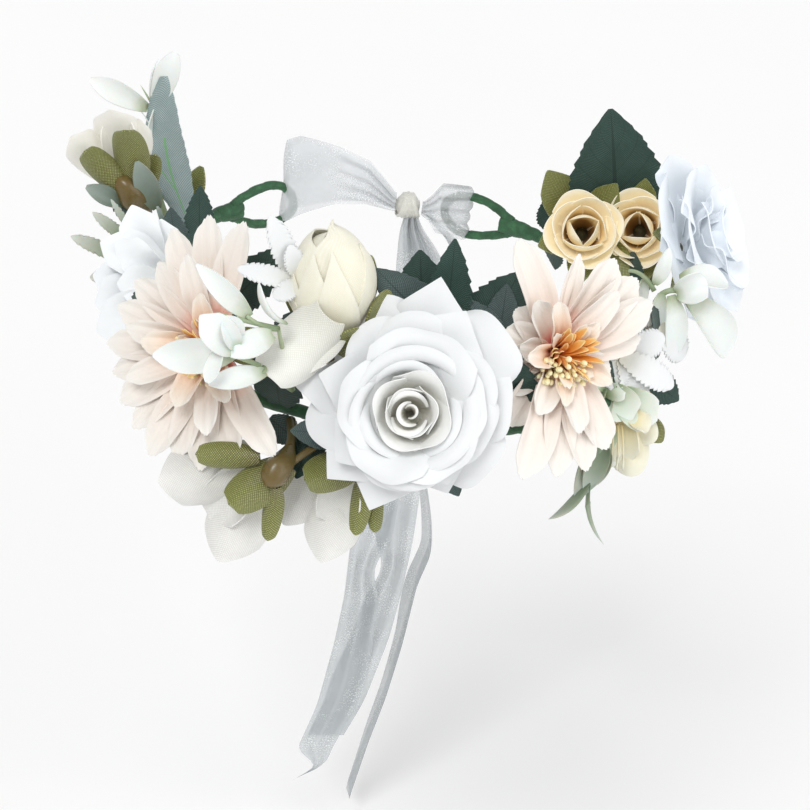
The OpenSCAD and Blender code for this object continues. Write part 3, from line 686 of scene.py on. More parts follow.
YELLOW_HEART = fabric("yellow_heart", [(0.0, "3A240B"), (0.3, "8E662E"), (0.5, "F0D69A"),
                                       (0.7, "FAE8BC"), (1.0, "FDF5DC")],
                      thin=0.05, edge=0.4, rim_light_colour="F4EEDC", shade=0.03, painted_glow=0.1)
OLIVE = fabric("olive_sepal", [(0.0, "4A3C16"), (0.25, "525019"), (1.0, "646828")], thin=0.0,
               rough=0.5, painted_glint=1.0, painted_glint_colour="C2C67C", pitch=0.8, bump=0.6, specular=0.6)
DARK_LEAF = leaf_cloth("dark_leaf", "223A33", "15281F", painted_glint=0.6)
SLATE_LEAF = leaf_cloth("slate_leaf", "3A4B4A", "2A3836", painted_glint_colour="8C9C98", painted_glint=0.6)
UNDER_LEAF = leaf_cloth("leaf_underside", "7F9494", "5DB843", painted_glint=1.0, painted_glint_colour="D9E1E2",
                        ribs=False, midrib=0.028, span=(0.04, 0.62), pitch=0.9)
STAMEN = fabric("stamen", [(0.0, "E8791A"), (0.5, "F59A2C"), (0.85, "F8B860"), (1.0, "F9DC9A")],
                thin=0.05, pitch=0.4)
BEAD = moulded("stamen_bead", [(0.0, "F3E0A0"), (1.0, "F6ECC4")], rough=0.5)
SAGE = moulded("sage_plastic", [(0.0, "84966C"), (0.25, "A5B392"), (0.55, "CDD6C4"),
                                (1.0, "E6EAE4")])
WAX = moulded("wax_leaflet", [(0.0, "94A582"), (0.12, "BFCAB6"), (0.3, "DFE4E0"),
                              (1.0, "EBEFEE")])
SAGE_STEM = moulded("sage_stem", [(0.0, "7F8F6B"), (1.0, "A9B896")])
DULL_SAGE = moulded("dull_sage", [(0.0, "66785A"), (0.5, "8F9D86"), (1.0, "C2C9C0")])
DARK_SAGE = moulded("dark_sage", [(0.0, "4E5C46"), (0.4, "6F7E72"), (1.0, "93A098")])
BROWN = moulded("brown_receptacle", [(0.0, "4A4426"), (0.5, "5C502C"), (1.0, "6C5A30")],
                rough=0.3)
TAPE = crepe("floral_tape", "2B5A38", "1E4529", "407A4E")
TAPE_BROWN = crepe("stem_tape", "3A3A1E", "26260F", "55532E")
STEEL = bare_wire()
ORGANZA = sheer("organza", "E6E9EC", 0.36)
# painted shade: the tails are the same organza as the band, in a darker colour for the shade they
# hang in
SHADED_ORGANZA_TAIL = sheer("organza_tail_shaded", "C3C9CC", 0.46)
KNOT_CLOTH = sheer("organza_gathered", "E9E8DF", 0.82, spark=0.3)
YELLOW_SOFT = fabric("freesia_petal", [(0.0, "DFC98A"), (0.4, "E8DDB4"), (1.0, "EEEDDC")],
                     thin=0.05, rough=0.6)


# ---------------------------------------------------------------- ring and eyelets

def taped_wire(cloth, path, r, pitch=7.0):
    """A wire wound with crepe tape: each turn overlaps the last, and the tape is lumpy."""
    first, second = rng.uniform(0, 6, 2)

    def lumps(turn, along):
        wound = (along / pitch + turn / (2 * np.pi)) % 1.0
        lump = np.sin(along * 0.31 + first) + np.sin(along * 0.83 + 2 * turn + second)
        return 1.04 - 0.13 * wound + 0.035 * lump

    cloth.tube(path, r, 18, lumps)


def arc(start, end, step):
    """Points on the ring's centre line about every step mm."""
    count = int(abs(end - start) * np.radians(1) * RING_R / step) + 2
    return np.array([on_ring(a) for a in np.linspace(start, end, count)])


def span_of(points):
    """First and last angle round the ring that a solid covers."""
    a = np.degrees(np.arctan2(points[:, 1], points[:, 0]))
    return a.min(), a.max()


def make_ring():
    """The taped ring, open at the back."""
    back, half_gap = 90.0, 45.0
    tape = Cloth()
    taped_wire(tape, arc(back + half_gap, back + 360 - half_gap, 0.9), TAPE_R)
    tape.build("tape_on_ring", TAPE, slot="floral_tape", replaces=["frame_tape"])


def make_eyelets():
    """Teardrop loops on the ring's cylinder, from where they split to their rounded ends."""
    loops, lumps = Cloth(), Cloth()
    for points in parts_of("eyelet_wires"):
        first, last = span_of(points)
        side = 1 if first + last > 180 else -1
        split, end = (last, first) if side > 0 else (first, last)
        half = np.abs(points[:, 2]).max() - WIRE_R
        u = np.radians(np.linspace(40, 320, 90))
        near = (1 - np.cos(u[0])) / 2
        along = ((1 - np.cos(u)) / 2 - near) / (1 - near)
        shape = np.sin(u) * np.sin(u / 2)
        z = half * shape / np.abs(shape).max()
        azimuth = split + (end - split) * along + 0.4 * np.sin(3 * u) * (along > 0.05)
        path = np.array([on_ring(a, 0, h) for a, h in zip(azimuth, z)])
        taped_wire(loops, path, TAPE_R * 0.8, pitch=6.0)
    for points in parts_of("eyelet_bindings"):
        first, last = span_of(points)
        side = 1 if first + last > 180 else -1
        start, end = (last + 1.5, first - 3.5) if side > 0 else (first - 1.5, last + 3.5)
        path = arc(start, end, 0.8)
        t = np.linspace(0, 1, len(path))
        tall = 1.0 + 0.6 * smooth(t * 1.1)
        r = TAPE_R * (0.98 + 0.12 * np.sin(np.pi * t) ** 0.6)

        def swell(turn, along):
            wound = (along / 5.0 + turn / (2 * np.pi)) % 1.0
            height = np.abs(np.sin(turn)) * (tall[:, None] - 1)
            return 1.0 + height - 0.12 * wound + 0.05 * np.sin(along * 1.1 + turn)

        lumps.tube(path, r, 24, swell)
    loops.build("tape_on_eyelets", TAPE, slot="floral_tape", replaces=["eyelet_tapes"])
    lumps.build("eyelet_joints", TAPE, slot="floral_tape", replaces=["eyelet_bindings"])


# ---------------------------------------------------------------- ribbon

def edges_of(node):
    """Left edge, right edge and depth of a hanging strip at each height, highest first."""
    p = parts_of(node)[0]
    rows = []
    for z in np.unique(np.round(p[:, 2], 1))[::-1]:
        level = p[np.abs(p[:, 2] - z) < 0.1]
        rows.append((z, level[:, 0].min(), level[:, 0].max(), level[:, 1].mean()))
    return np.array(rows)


RIBBON = 25.0          # width of the flat ribbon in mm
ORGANZA_THICK = 0.12
DEEPEST_PLEAT = 2.4
KNOT_AZIMUTH = 80


def strip(rows, count):
    """Rows of a strip at even heights: z, left, right, depth."""
    z = np.linspace(rows[0, 0], rows[-1, 0], count)
    columns = [np.interp(-z, -rows[:, 0], rows[:, k]) for k in (1, 2, 3)]
    kernel = np.ones(5) / 5
    even = [np.convolve(np.pad(c, 2, mode="edge"), kernel, "valid") for c in columns]
    return (z, *even)


def pleat_depth(width, count):
    """Height of that many waves across a width which take up most of the ribbon, up to a limit."""
    full = np.maximum(RIBBON * 0.93 / np.maximum(width, 1.0), 1.0) ** 2 - 1
    return np.minimum(width / (2 * np.pi * count) * np.sqrt(2 * full), DEEPEST_PLEAT)


def make_band(name, node):
    """Doubled stretch of ribbon from an eyelet to the knot: it is spread where it turns round the
    wire, gathered at the knot, and creased along its length."""
    p = parts_of(node)[0]
    azimuth = np.degrees(np.arctan2(p[:, 1], p[:, 0]))
    out = np.hypot(p[:, 0], p[:, 1]) - RING_R
    rows = []
    for a in np.unique(np.round(azimuth, 1)):
        level = np.abs(azimuth - a) < 0.15
        apart = np.abs(out[level]).max() - CAD_RIBBON_THICK / 2
        rows.append((a, p[level, 2].min(), p[level, 2].max(), apart))
    rows = np.array(rows)
    if abs(rows[0, 0] - KNOT_AZIMUTH) < abs(rows[-1, 0] - KNOT_AZIMUTH):
        rows = rows[::-1]
    sign = 1 if rows[-1, 0] > rows[0, 0] else -1
    n, m, pleats = 40, 49, 4
    t = np.linspace(0, 1, n)
    azimuths = rows[0, 0] + (rows[-1, 0] - rows[0, 0]) * t
    lowest, highest, gap = (np.interp(sign * azimuths, sign * rows[:, 0], rows[:, k])
                            for k in (1, 2, 3))
    w = np.linspace(0, 1, m)
    depth = pleat_depth(highest - lowest, pleats)
    grids = []
    for layer in (1, -1):
        grid = np.zeros((n, m, 3))
        first, second = rng.uniform(0, 6, 2)
        for i in range(n):
            z = lowest[i] + (highest[i] - lowest[i]) * w
            fold = depth[i] * np.sin(w * 2 * pleats * np.pi + first + 2 * t[i])
            fold += 0.4 * np.sin(w * 9 + second - 5 * t[i])
            spread = layer * (gap[i] + 0.4 + 0.5 * depth[i]) + fold
            for j in range(m):
                grid[i, j] = on_ring(azimuths[i], spread[j], z[j])
        grids.append(grid)
    turn = (grids[0][0] + grids[1][0]) / 2
    away = turn - (grids[0][1] + grids[1][1]) / 2
    away /= np.linalg.norm(away, axis=1, keepdims=True)
    deep = np.linalg.norm(grids[0][0] - grids[1][0], axis=1, keepdims=True) / 2
    bow = [(turn + (grids[0][0] - turn) * np.cos(a) + away * deep * 0.75 * np.sin(a))[None]
           for a in np.radians((30, 60, 90, 120, 150))]
    whole = np.concatenate([grids[0][::-1], *bow, grids[1]])
    cloth = Cloth()
    cloth.shell(whole, ORGANZA_THICK)
    piece = cloth.build(name, ORGANZA, slot="organza", replaces=[node])


def make_knot():
    """Gathered ribbon wound over itself: two crossing wraps over a creased core."""
    lo, hi = (np.array(c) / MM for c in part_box("ribbon_knot"))
    centre, half = (lo + hi) / 2, (hi - lo) / 2
    cloth = Cloth()
    n, m = 49, 9
    t = np.linspace(-1, 1, 21)
    core = centre + np.outer(t * half[0] * 1.02, (1, 0, 0))

    def creased(turn, along):
        return 1 + 0.07 * np.sin(5 * turn + along * 0.6) + 0.04 * np.sin(11 * turn - along)

    cloth.tube(core, half[2] * 0.86 * np.maximum(0.42, np.sqrt(1 - 0.97 * t * t)), 40, creased,
               flat=1.05)
    for tilt, shift in ((24, -0.8), (-30, 1.4)):
        lean, ring = np.radians(tilt), np.radians(np.linspace(0, 360, n))
        wound = np.zeros((n, m, 3))
        for j, w in enumerate(np.linspace(-1, 1, m)):
            r = 1.0 + 0.06 * np.cos(w * 9) - 0.1 * w * w
            x = shift + w * 2.6 * np.cos(lean) + np.cos(ring) * half[2] * np.sin(lean) * 0.6
            wound[:, j, 0] = centre[0] + x
            wound[:, j, 1] = centre[1] - np.sin(ring) * half[1] * 0.88 * r
            wound[:, j, 2] = centre[2] + np.cos(ring) * half[2] * 0.92 * r
        cloth.shell(wound, 0.25)
    cloth.build("ribbon_knot_gathers", KNOT_CLOTH, slot="organza", replaces=["ribbon_knot"])


SLIT = (150.0, 192.0)      # heights under the ring between which the two layers part


def tail_layer(rows, side, stop):
    """One of the two layers of the wide tail, as rows of points from the knot down to stop."""
    z, left, right, depth = strip(rows, 120)
    keep = z > stop
    z, left, right, depth = z[keep], left[keep], right[keep], depth[keep]
    drop = (z[0] - z) / (z[0] - z[-1])
    part = np.sin(np.pi * np.clip((-z - SLIT[0]) / (SLIT[1] - SLIT[0]), 0, 1)) ** 2
    # a layer covers most of the tail's width: less of it half way down, and least at the slit
    share = 0.84 - 0.2 * smooth((-z - 20) / 60) * (1 - smooth((-z - 190) / 50)) - 0.19 * part
    flare = 3.0 * np.sin(np.pi * np.clip(drop / 0.2, 0, 1))
    left, right = left - flare, right + flare
    width = (right - left) * share
    start = left if side < 0 else right - width
    w = np.linspace(0, 1, 37)
    x = start[:, None] + width[:, None] * w
    phase, pleats = 0.7 if side < 0 else 2.2, 2.5
    deep = pleat_depth(width, pleats) * (0.85 + 0.15 * np.sin(drop * 11 + phase))
    deep = deep * (1 - 0.75 * smooth((drop - 0.9) / 0.08))
    fold = deep[:, None] * np.sin(2 * pleats * np.pi * w[None] + phase + 3.5 * drop[:, None])
    sway = 1.2 * np.sin(3 * w[None] + 7 * drop[:, None] + phase) * (1 - drop[:, None] ** 4)
    y = depth[:, None] + side * 1.6 + fold + sway
    return np.stack([x, y, np.repeat(z[:, None], len(w), axis=1)], -1)


def tail_of(tail, left, right, depth):
    """Rows of a tail's edges, its top and its fold. left, right and depth place one more row,
    inside the knot, beside the top."""
    upper, lower = edges_of(f"{tail}_upper"), edges_of(f"{tail}_lower")
    rows = np.concatenate([upper, lower])
    top = np.array(((rows[0, 1] + rows[0, 2]) / 2, rows[0, 3], rows[0, 0]))
    fold = np.array((top[0], top[1], (upper[-1, 0] + lower[0, 0]) / 2))
    knot = (top[2] + 4.5, top[0] + left, top[0] + right, top[1] + depth)
    return np.concatenate([[knot], rows]), top, fold


def hang_tail(name, tail, grid, top, fold, before):
    """Builds a tail as two stretches that meet about half way to its fold: the first hangs from
    the knot, the second goes round the fold. reach sets points that far above and below the knot
    and the fold, which build does not use."""
    upper, lower = f"{tail}_upper", f"{tail}_lower"
    cut = int(np.argmin(np.abs(grid[:, 0, 2] - fold[2] * 0.45)))
    for part, label, bodies, place, reach, node in (
            (grid[:cut + 1], "top", (before, upper), top, 9, upper),
            (grid[cut:], "end", (upper, lower), fold, 30, lower)):
        cloth = Cloth()
        cloth.shell(part, ORGANZA_THICK)
        over = (place + reach * UP) * MM
        under = (place - reach * UP) * MM
        piece = cloth.build(f"{name}_{label}", SHADED_ORGANZA_TAIL,
                            body=(*bodies, Vector(over), Vector(under)), slot="organza",
                            replaces=[node])


def make_wide_tail():
    """One end of the ribbon: two pleated layers, the front one cut off at a slant."""
    rows, top, fold = tail_of("wide_tail", -2.2, 2.2, 1.2)
    for label, side, stop in (("front", -1, rows[-1, 0] - 1), ("back", 1, rows[-1, 0] + 23)):
        grid = tail_layer(rows, side, stop)
        if side < 0:
            slant = (grid[-1, :, 0] - grid[-1, :, 0].mean()) * 0.42
            share = smooth((np.arange(len(grid)) / len(grid) - 0.93) / 0.07)
            grid[..., 2] += share[:, None] * slant[None]
        hang_tail(f"wide_tail_{label}", "wide_tail", grid, top, fold, "crown")


def make_narrow_tail():
    """The other end of the ribbon, folded in half along its length and hanging edge-on."""
    rows, top, fold = tail_of("narrow_tail", -3.0, 1.0, -1.5)
    z, left, right, depth = strip(rows, 150)
    w = np.linspace(-1, 1, 25)
    drop = (z[0] - z) / (z[0] - z[-1])
    # the fold stands open under the knot and round the middle, and closes towards the end
    open_x = 1.1 + 1.0 * np.sin(np.pi * np.clip(drop / 0.14, 0, 1))
    for bulge, place, spread in ((1.2, 0.5, 0.09), (1.4, 0.63, 0.06)):
        open_x = open_x + bulge * np.exp(-((drop - place) / spread) ** 2)
    open_x = (open_x * (1 - 0.6 * smooth((drop - 0.8) / 0.2)))[:, None]
    deep = (4.5 + 6.5 * smooth(drop / 0.1))[:, None]
    lean = np.where(w > 0, 0.65, 1.0) * np.abs(w) ** 0.7
    x = ((left + right) / 2)[:, None] + np.sign(w) * open_x * lean
    x = x + 0.5 * np.sin(7 * w + 9 * drop[:, None]) * np.abs(w)
    y = depth[:, None] - 2.0 + deep * np.abs(w) + 0.8 * np.sin(drop * 14)[:, None]
    grid = np.stack([x, y, np.repeat(z[:, None], len(w), axis=1)], -1)
    hang_tail("narrow_tail", "narrow_tail", grid, top, fold, "wide_tail_upper")


# ---------------------------------------------------------------- flowers

SEPAL = dict(foot=0.35, widest=0.5, end=0.35, tip=2.0, tip_depth=0.25, nv=11, nu=9)


def stem_to(cloth, node, hub):
    """A taped wire stem from the ring to a flower."""
    points = np.concatenate(parts_of(node))
    near = ring_gap(points)
    root = points[near < near.min() + 1.0].mean(0)
    cloth.tube(root + np.outer(np.linspace(0, 1, 14), hub - root), 1.3, 8)


def calyx(name, node, hub, face, count, length, width, rise, back):
    """Olive sepals under a flower, and its stem."""
    cloth, wire = Cloth(), Cloth()
    rosette(cloth, hub - back * face, face, count, length, width, radius=2.2, rise=rise,
            cup=(45, 35), thick=0.5, **SEPAL)
    cloth.build(name, OLIVE, slot="olive_sepal", replaces=[node])
    stem_to(wire, node, hub - (back + 0.5) * face)
    wire.bead(hub - (back + 1.5) * face, 3.4, 1.0, face)
    wire.build(name + "_wire", TAPE_BROWN, slot="moulded_stem")


POINTED = dict(tip=1.05, tip_depth=0.34, end=0.78)
SQUARE = dict(tip=5.0, tip_depth=0.16, end=1.0)
ROUND = dict(tip=2.4, tip_depth=0.28, end=0.9)


def make_white_rose():
    """Rows of petals that open from a rolled heart: rows as in whorl and in cuffs, with the
    outline of each petal."""
    hub, face = whorl_of("rose_outer_petals")
    _, up, _ = axes_of(face)
    outer, middle, inner = Cloth(), Cloth(), Cloth()
    soft = dict(foot=0.4, widest=0.6, nv=21, nu=19)
    whorl(outer, hub, face, (
        (84, 37, 25, 12, 2, POINTED), (116, 32, 24, 14, 0, ROUND), (42, 34, 28, 14, 4, SQUARE),
        (142, 31, 24, 16, 2, POINTED), (4, 29, 26, 16, 2, SQUARE), (-34, 31, 25, 12, -4, SQUARE),
        (-62, 29, 24, 16, 0, POINTED), (-104, 35, 23, 8, -6, POINTED),
        (-130, 34, 25, 14, -4, POINTED), (-158, 32, 23, 14, 0, ROUND),
        (-180, 35, 19, 18, 6, POINTED)), cup=(25, -24), roll=(0, 70), curl=34, wave=1.8, **soft)
    whorl(middle, hub, face, (
        (66, 32, 25, 36, 12, POINTED), (20, 27, 26, 40, 16, ROUND), (-20, 27, 25, 38, 14, SQUARE),
        (-60, 28, 25, 34, 10, POINTED), (-97, 30, 26, 46, 10, ROUND),
        (-134, 30, 24, 34, 8, POINTED), (172, 30, 22, 34, 16, POINTED),
        (128, 28, 25, 38, 14, ROUND), (95, 28, 25, 42, 18, ROUND)),
        lift=1.5, cup=(45, -8), roll=(0, 110), curl=60, wave=1.8, **soft)
    centre = hub + 2.0 * face - 4.0 * up
    whorl(inner, hub - 3.0 * up, face, (
        (84, 27, 34, 62, 22, ROUND), (14, 25, 29, 62, 24, ROUND), (-50, 25, 30, 60, 24, ROUND),
        (-115, 26, 28, 60, 28, ROUND), (180, 25, 28, 62, 28, ROUND)),
        lift=2.0, radius=3.5, cup=(75, 40), roll=(0, 120), curl=70, wave=0.8, **soft)
    cuffs(inner, centre, face, (
        (16.0, 25, 140, 15.5, 3.0, dict(drop=0.16)), (16.5, -78, 125, 14.0, 3.2, dict(turn=145)),
        (16.0, 138, 105, 15.0, 2.4), (16.2, 212, 105, 14.0, 3.6, dict(turn=150, drop=0.45)),
        (11.2, 40, 125, 16.5, 2.0), (12.6, 160, 115, 15.5, 2.4, dict(drop=0.4)),
        (12.0, -70, 110, 14.5, 2.6, dict(drop=0.4))), stray=1.0, lean=0.1, turn=125)
    outer.build("white_rose_outer", WHITE, slot="white_petal", replaces=["rose_outer_petals"])
    middle.build("white_rose_middle", WHITE, slot="white_petal", replaces=["rose_middle_petals"])
    inner.build("white_rose_inner", WHITE, slot="white_petal", replaces=["rose_inner_petals"])
    heart = Cloth()
    curled = dict(foot=0.5, widest=0.6, end=0.9, tip=2.2, tip_depth=0.24, cup=(75, 55),
                  roll=(0, 60), curl=70, wave=0.5, nv=21, nu=19)
    whorl(heart, centre, face, (
        (70, 21, 21, 42, 96), (158, 20, 20, 44, 98), (250, 19, 21, 42, 98), (335, 20, 20, 44, 94)),
        radius=2.5, **curled)
    whorl(heart, centre, face, (
        (20, 19, 16, 52, 104), (125, 19, 15, 54, 106), (215, 18.5, 16, 52, 106),
        (290, 18, 15, 56, 104)), radius=2.0, vary=4, **dict(curled, curl=50))
    cuffs(heart, centre, face, ((5.6, 30, 165, 16.5, 1.2), (5.0, 200, 150, 17.0, 1.2),
                                (3.2, 100, 200, 17.5, 0.9), (1.8, 260, 250, 17.0, 0.5)),
          turn=105, drop=0.3)
    heart.build("white_rose_heart", HEART, slot="cream_petal", replaces=["rose_heart"])
    calyx("white_rose_calyx", "rose_calyx", hub, face, 5, 17, 8, (0, -18), back=1.4)


# angle, length and width of the low and the high straps, and how far the face turns
DAISY = {"left": (
    ((105, 40, 11), (88, 40, 11), (124, 38, 11), (139, 31, 10), (156, 32, 11), (173, 33, 11),
     (193, 34, 11), (209, 33, 10), (225, 34, 11), (240, 35, 10), (255, 38, 12), (268, 35, 11),
     (282, 37, 11), (299, 35, 12), (320, 39, 12)),
    ((114, 30, 9), (182, 27, 9), (217, 28, 9), (290, 28, 9)), (0.25, -0.15, 0.0)),
    "right": (
    ((110, 39, 13), (72, 31, 7), (50, 35, 13), (33, 36, 14), (18, 37, 13), (2, 30, 11),
     (-22, 20, 10), (-48, 19, 10), (-66, 35, 13), (-82, 38, 12), (-99, 38, 13), (-118, 41, 14),
     (-138, 28, 12), (-158, 21, 11), (180, 18, 11), (154, 20, 12), (133, 20, 11)),
    ((120, 21, 10), (42, 27, 10), (-88, 26, 10), (-128, 22, 10), (166, 17, 9)),
    (-0.22, -0.12, 0.0))}


def make_daisy(side):
    """Grooved straps, shorter ones inside them, a brush of stamen strips, and beads round its
    lower half."""
    hub, face = whorl_of(f"{side}_daisy_outer_petals")
    lower, upper, lean = DAISY[side]
    face = unit(face + np.array(lean))
    strap = dict(foot=0.3, widest=0.56, end=0.55, tip=2.0, tip_depth=0.14, notch=0.02,
                 grooves=0.4, thick=0.25, nv=21, nu=17)
    outer, inner = Cloth(), Cloth()
    whorl(outer, hub, face, [(*row, 22, 0) for row in lower], vary=6, cup=(50, 20), wave=0.6,
          **strap)
    whorl(outer, hub, face, [(*row, 38, 12) for row in upper], lift=1.0, vary=8, cup=(60, 30),
          wave=0.7, **strap)
    outer.build(f"{side}_daisy_straps", BLUSH, slot="blush_petal",
                replaces=[f"{side}_daisy_outer_petals"])
    rosette(inner, hub, face, 5, 19, 8, start=40, lift=2.2, vary=13, rise=(52, 22),
            cup=(65, 40), wave=0.8, uneven=0.2, **strap)
    rosette(inner, hub, face, 6, 13, 4.5, start=0, lift=2.6, vary=14, rise=(66, 40),
            cup=(50, 30), wave=0.5, thick=0.2, uneven=0.2,
            foot=0.5, widest=0.7, end=0.75, tip=2.0, tip_depth=0.1, notch=0.08, nv=11, nu=9)
    inner.build(f"{side}_daisy_inner_straps", PEACH, slot="blush_petal",
                replaces=[f"{side}_daisy_inner_petals"])
    right, up, out = axes_of(face)
    strips = Cloth()
    for r, tall, count in ((5.6, 12.5, 14), (3.6, 12.5, 11), (1.6, 11.5, 7)):
        rosette(strips, hub, face, count, tall, 2.5, start=rng.uniform(0, 40), radius=r * 0.6,
                lift=2.5, vary=16, rise=(82, 66 - 3 * r), cup=(30, 60), thick=0.25, uneven=0.22,
                twist=60, foot=0.6, widest=0.5, end=0.7, tip=2.0, tip_depth=0.15, nv=9, nu=7)
    strips.build(f"{side}_daisy_stamen_strips", STAMEN, slot="stamen",
                 replaces=[f"{side}_daisy_stamens"])
    beads = Cloth()
    bead_count, first_angle, spread = 46, 175, 150
    for i in range(bead_count):
        a = np.radians(first_angle + (i * 47.5) % spread)
        r = 3.0 + 1.25 * np.sqrt(i)
        away = np.cos(a) * right + np.sin(a) * up
        tip = hub + r * away + (14.5 - 0.06 * r * r) * out + rng.uniform(-0.9, 0.9, 3)
        root = hub + 0.35 * r * away + 3 * out
        path = bezier([root, (root + tip) / 2 + 0.8 * out, tip], np.linspace(0, 1, 5))
        beads.tube(path, 0.3, 5)
        beads.bead(tip, rng.uniform(0.7, 1.05), 1.4, tip - root)
    beads.build(f"{side}_daisy_beads", BEAD, slot="stamen")
    calyx(f"{side}_daisy_calyx", f"{side}_daisy_stem", hub, face, 8, 12, 5, (5, 0), back=1.6)


def egg(r, top=0.12):
    """Profile of a bud: narrow foot, full belly, rounded top."""
    return lambda v: r * np.maximum(0.3 * (1 - v), top + (1 - top)
                                    * np.sin(np.pi * np.clip(v, 0, 1) ** 1.3) ** 0.6)


def make_cream_bud():
    """A closed bud of overlapping wraps, the folded petal beside it, its sepals and its foot."""
    base, tip = long_of(parts_of("cream_bud_petals")[0])
    base = base + np.array((-6.0, -4.0, -0.5))
    face, tall = unit(tip + np.array((-2.5, 0, 9)) - base), np.linalg.norm(tip - base) + 4
    bud = Cloth()
    bud.shell(stand(wrap(tall * 0.96, egg(11.4, top=0.02), 0, 352, top=0.0, nv=24, nu=41), base,
                    face), 0.4)
    # angles run from the front (0) to the viewer's right (90)
    layers = (
        # radius, start, span, height, corner drop, how sharp, skew, flare
        (12.2, 175, 215, 1.00, 0.10, 1.6, 0.05, 0.0),
        (12.9, -22, 215, 1.04, 0.16, 2.2, -0.04, 0.3),
        (12.9, 225, 120, 0.86, 0.32, 1.8, 0.10, 0.2),
        (13.3, 240, 95, 0.70, 0.36, 1.8, 0.12, 0.3),
        (13.6, 215, 105, 0.52, 0.42, 1.8, -0.05, 0.4),
        (13.4, 45, 95, 0.88, 0.62, 1.2, 0.00, 0.4),
        (13.7, 315, 75, 0.84, 0.60, 1.2, -0.10, 0.5),
        (14.4, 345, 78, 0.92, 0.74, 1.1, 0.00, 1.2),
    )
    for r, start, span, high, top, sharp, skew, flare in layers:
        grid = wrap(tall * high, lambda v, k=high, r=r: egg(r)(v * k), start, span, top=top,
                    power=sharp, spiral=0.03, flare=flare, skew=skew, nv=24, nu=27)
        bud.shell(stand(grid, base, face), 0.5)
    bud.build("cream_bud_wraps", CREAM, slot="cream_petal", replaces=["cream_bud_petals"])
    fold = Cloth()
    lay(fold, (-33, -96, 36), (-49, -100, 20), TO_FRONT, 11, foot=0.7, widest=0.3, end=0.15,
        tip_depth=0.1, rise=(16, -10), cup=(-30, -10), nv=17, nu=13)
    lay(fold, (-38, -100, 42), (-54.5, -107, 25), -TO_FRONT, 22, thick=0.6, foot=0.62, widest=0.5,
        end=0.8, oval=1.0, tip=2.0, tip_depth=0.08, rise=(38, -34), cup=(66, 62), nv=31, nu=27)
    fold.build("cream_bud_folded_petal", SATIN, slot="cream_petal",
               replaces=["cream_bud_fold_petal"])
    sepals = Cloth()
    pad = dict(foot=0.45, widest=0.6, end=0.7, tip=2.2, tip_depth=0.3, nv=15, nu=11, thick=0.8)
    lay(sepals, (-25, -92, 26), (-17.5, -84, 44), (0.2, -0.9, -0.2), 11, rise=(10, -30),
        cup=(30, 20), **pad)
    lay(sepals, (-25, -97, 25), (-31.5, -99, 36.5), -TO_FRONT, 12, rise=(20, -34),
        cup=(50, 30), **pad)
    lay(sepals, (-38, -80, 24), (-48, -79, 45), -TO_FRONT, 8, rise=(10, -20), cup=(40, 20), **pad)
    lay(sepals, (-27, -80, 26), (-23, -77, 52), -TO_FRONT, 9, rise=(10, -20), cup=(40, 20), **pad)
    sepals.build("cream_bud_sepals", OLIVE, slot="olive_sepal", replaces=["cream_bud_calyx"])
    foot = Cloth()
    stem_to(foot, "cream_bud_calyx", base - 3 * face)
    t = np.linspace(0, 1, 12)
    foot.tube(base + np.outer(-6 + 7 * t, face), 1.8 + 4.6 * smooth(t), 16)
    foot.build("cream_bud_foot", BROWN, slot="moulded_stem")


AWAY = -TO_FRONT
LOBE = dict(foot=0.55, widest=0.5, end=0.8, oval=0.8, tip=2.0, tip_depth=0.22, cup=(80, 62),
            curl=-20, rise=(30, -18), wave=0.7, nv=29, nu=27, thick=0.5)
PAD = dict(foot=0.45, widest=0.45, end=0.5, oval=0.9, tip=2.0, tip_depth=0.08, cup=(64, 50),
           rise=(26, -28), nv=17, nu=13, thick=1.0)


def make_magnolia(side, petals, sepals, neck, cap, girth):
    """A half-open bud of satin petals in padded olive sepals, on a moulded stem. Petals and
    sepals are rows of (root, tip, facing direction, width); neck and cap are places on the
    stem."""
    body = f"{side}_magnolia"
    bloom, cup, foot = Cloth(), Cloth(), Cloth()
    for root, point, inwards, width in petals:
        lay(bloom, root, point, inwards, width, phase=rng.uniform(0, 6), **LOBE)
    bloom.build(f"{side}_magnolia_bloom", CREAM_WHITE if side == "top" else PEARL, body=body,
                slot="cream_petal", replaces=[f"{side}_magnolia_petals"])
    for root, point, inwards, width in sepals:
        lay(cup, root, point, inwards, width, **PAD)
    cup.build(f"{side}_magnolia_cup", OLIVE, body=body, slot="olive_sepal",
              replaces=[f"{side}_magnolia_sepals"])
    points = np.concatenate(parts_of(f"{side}_magnolia_stem"))
    near = ring_gap(points)
    root = points[near < near.min() + 0.8].mean(0)
    neck, cap = np.asarray(neck, float), np.asarray(cap, float)
    t, thin = np.linspace(0, 1, 44), 1.5
    path = bezier([root, (root + neck) / 2, neck, cap], t)
    full = thin + (girth - thin) * smooth((t - 0.45) / 0.4)
    rounded = np.sqrt(np.clip(1 - ((t - 0.8) / 0.2) ** 2 * (t > 0.8), 0.004, 1))

    def lobed(turn, along):
        return 1 + 0.05 * np.sin(2 * turn + 0.5 * along) + 0.03 * np.sin(5 * turn)

    foot.tube(path, full * rounded, 20, lobed)
    if side == "left":
        stalk(foot, ((-27, -92, -1), (-36, -98, -2), (-45, -103, -8)), 1.3)
    foot.build(f"{side}_magnolia_foot", BROWN, body=body, slot="moulded_stem",
               replaces=[f"{side}_magnolia_stem"])


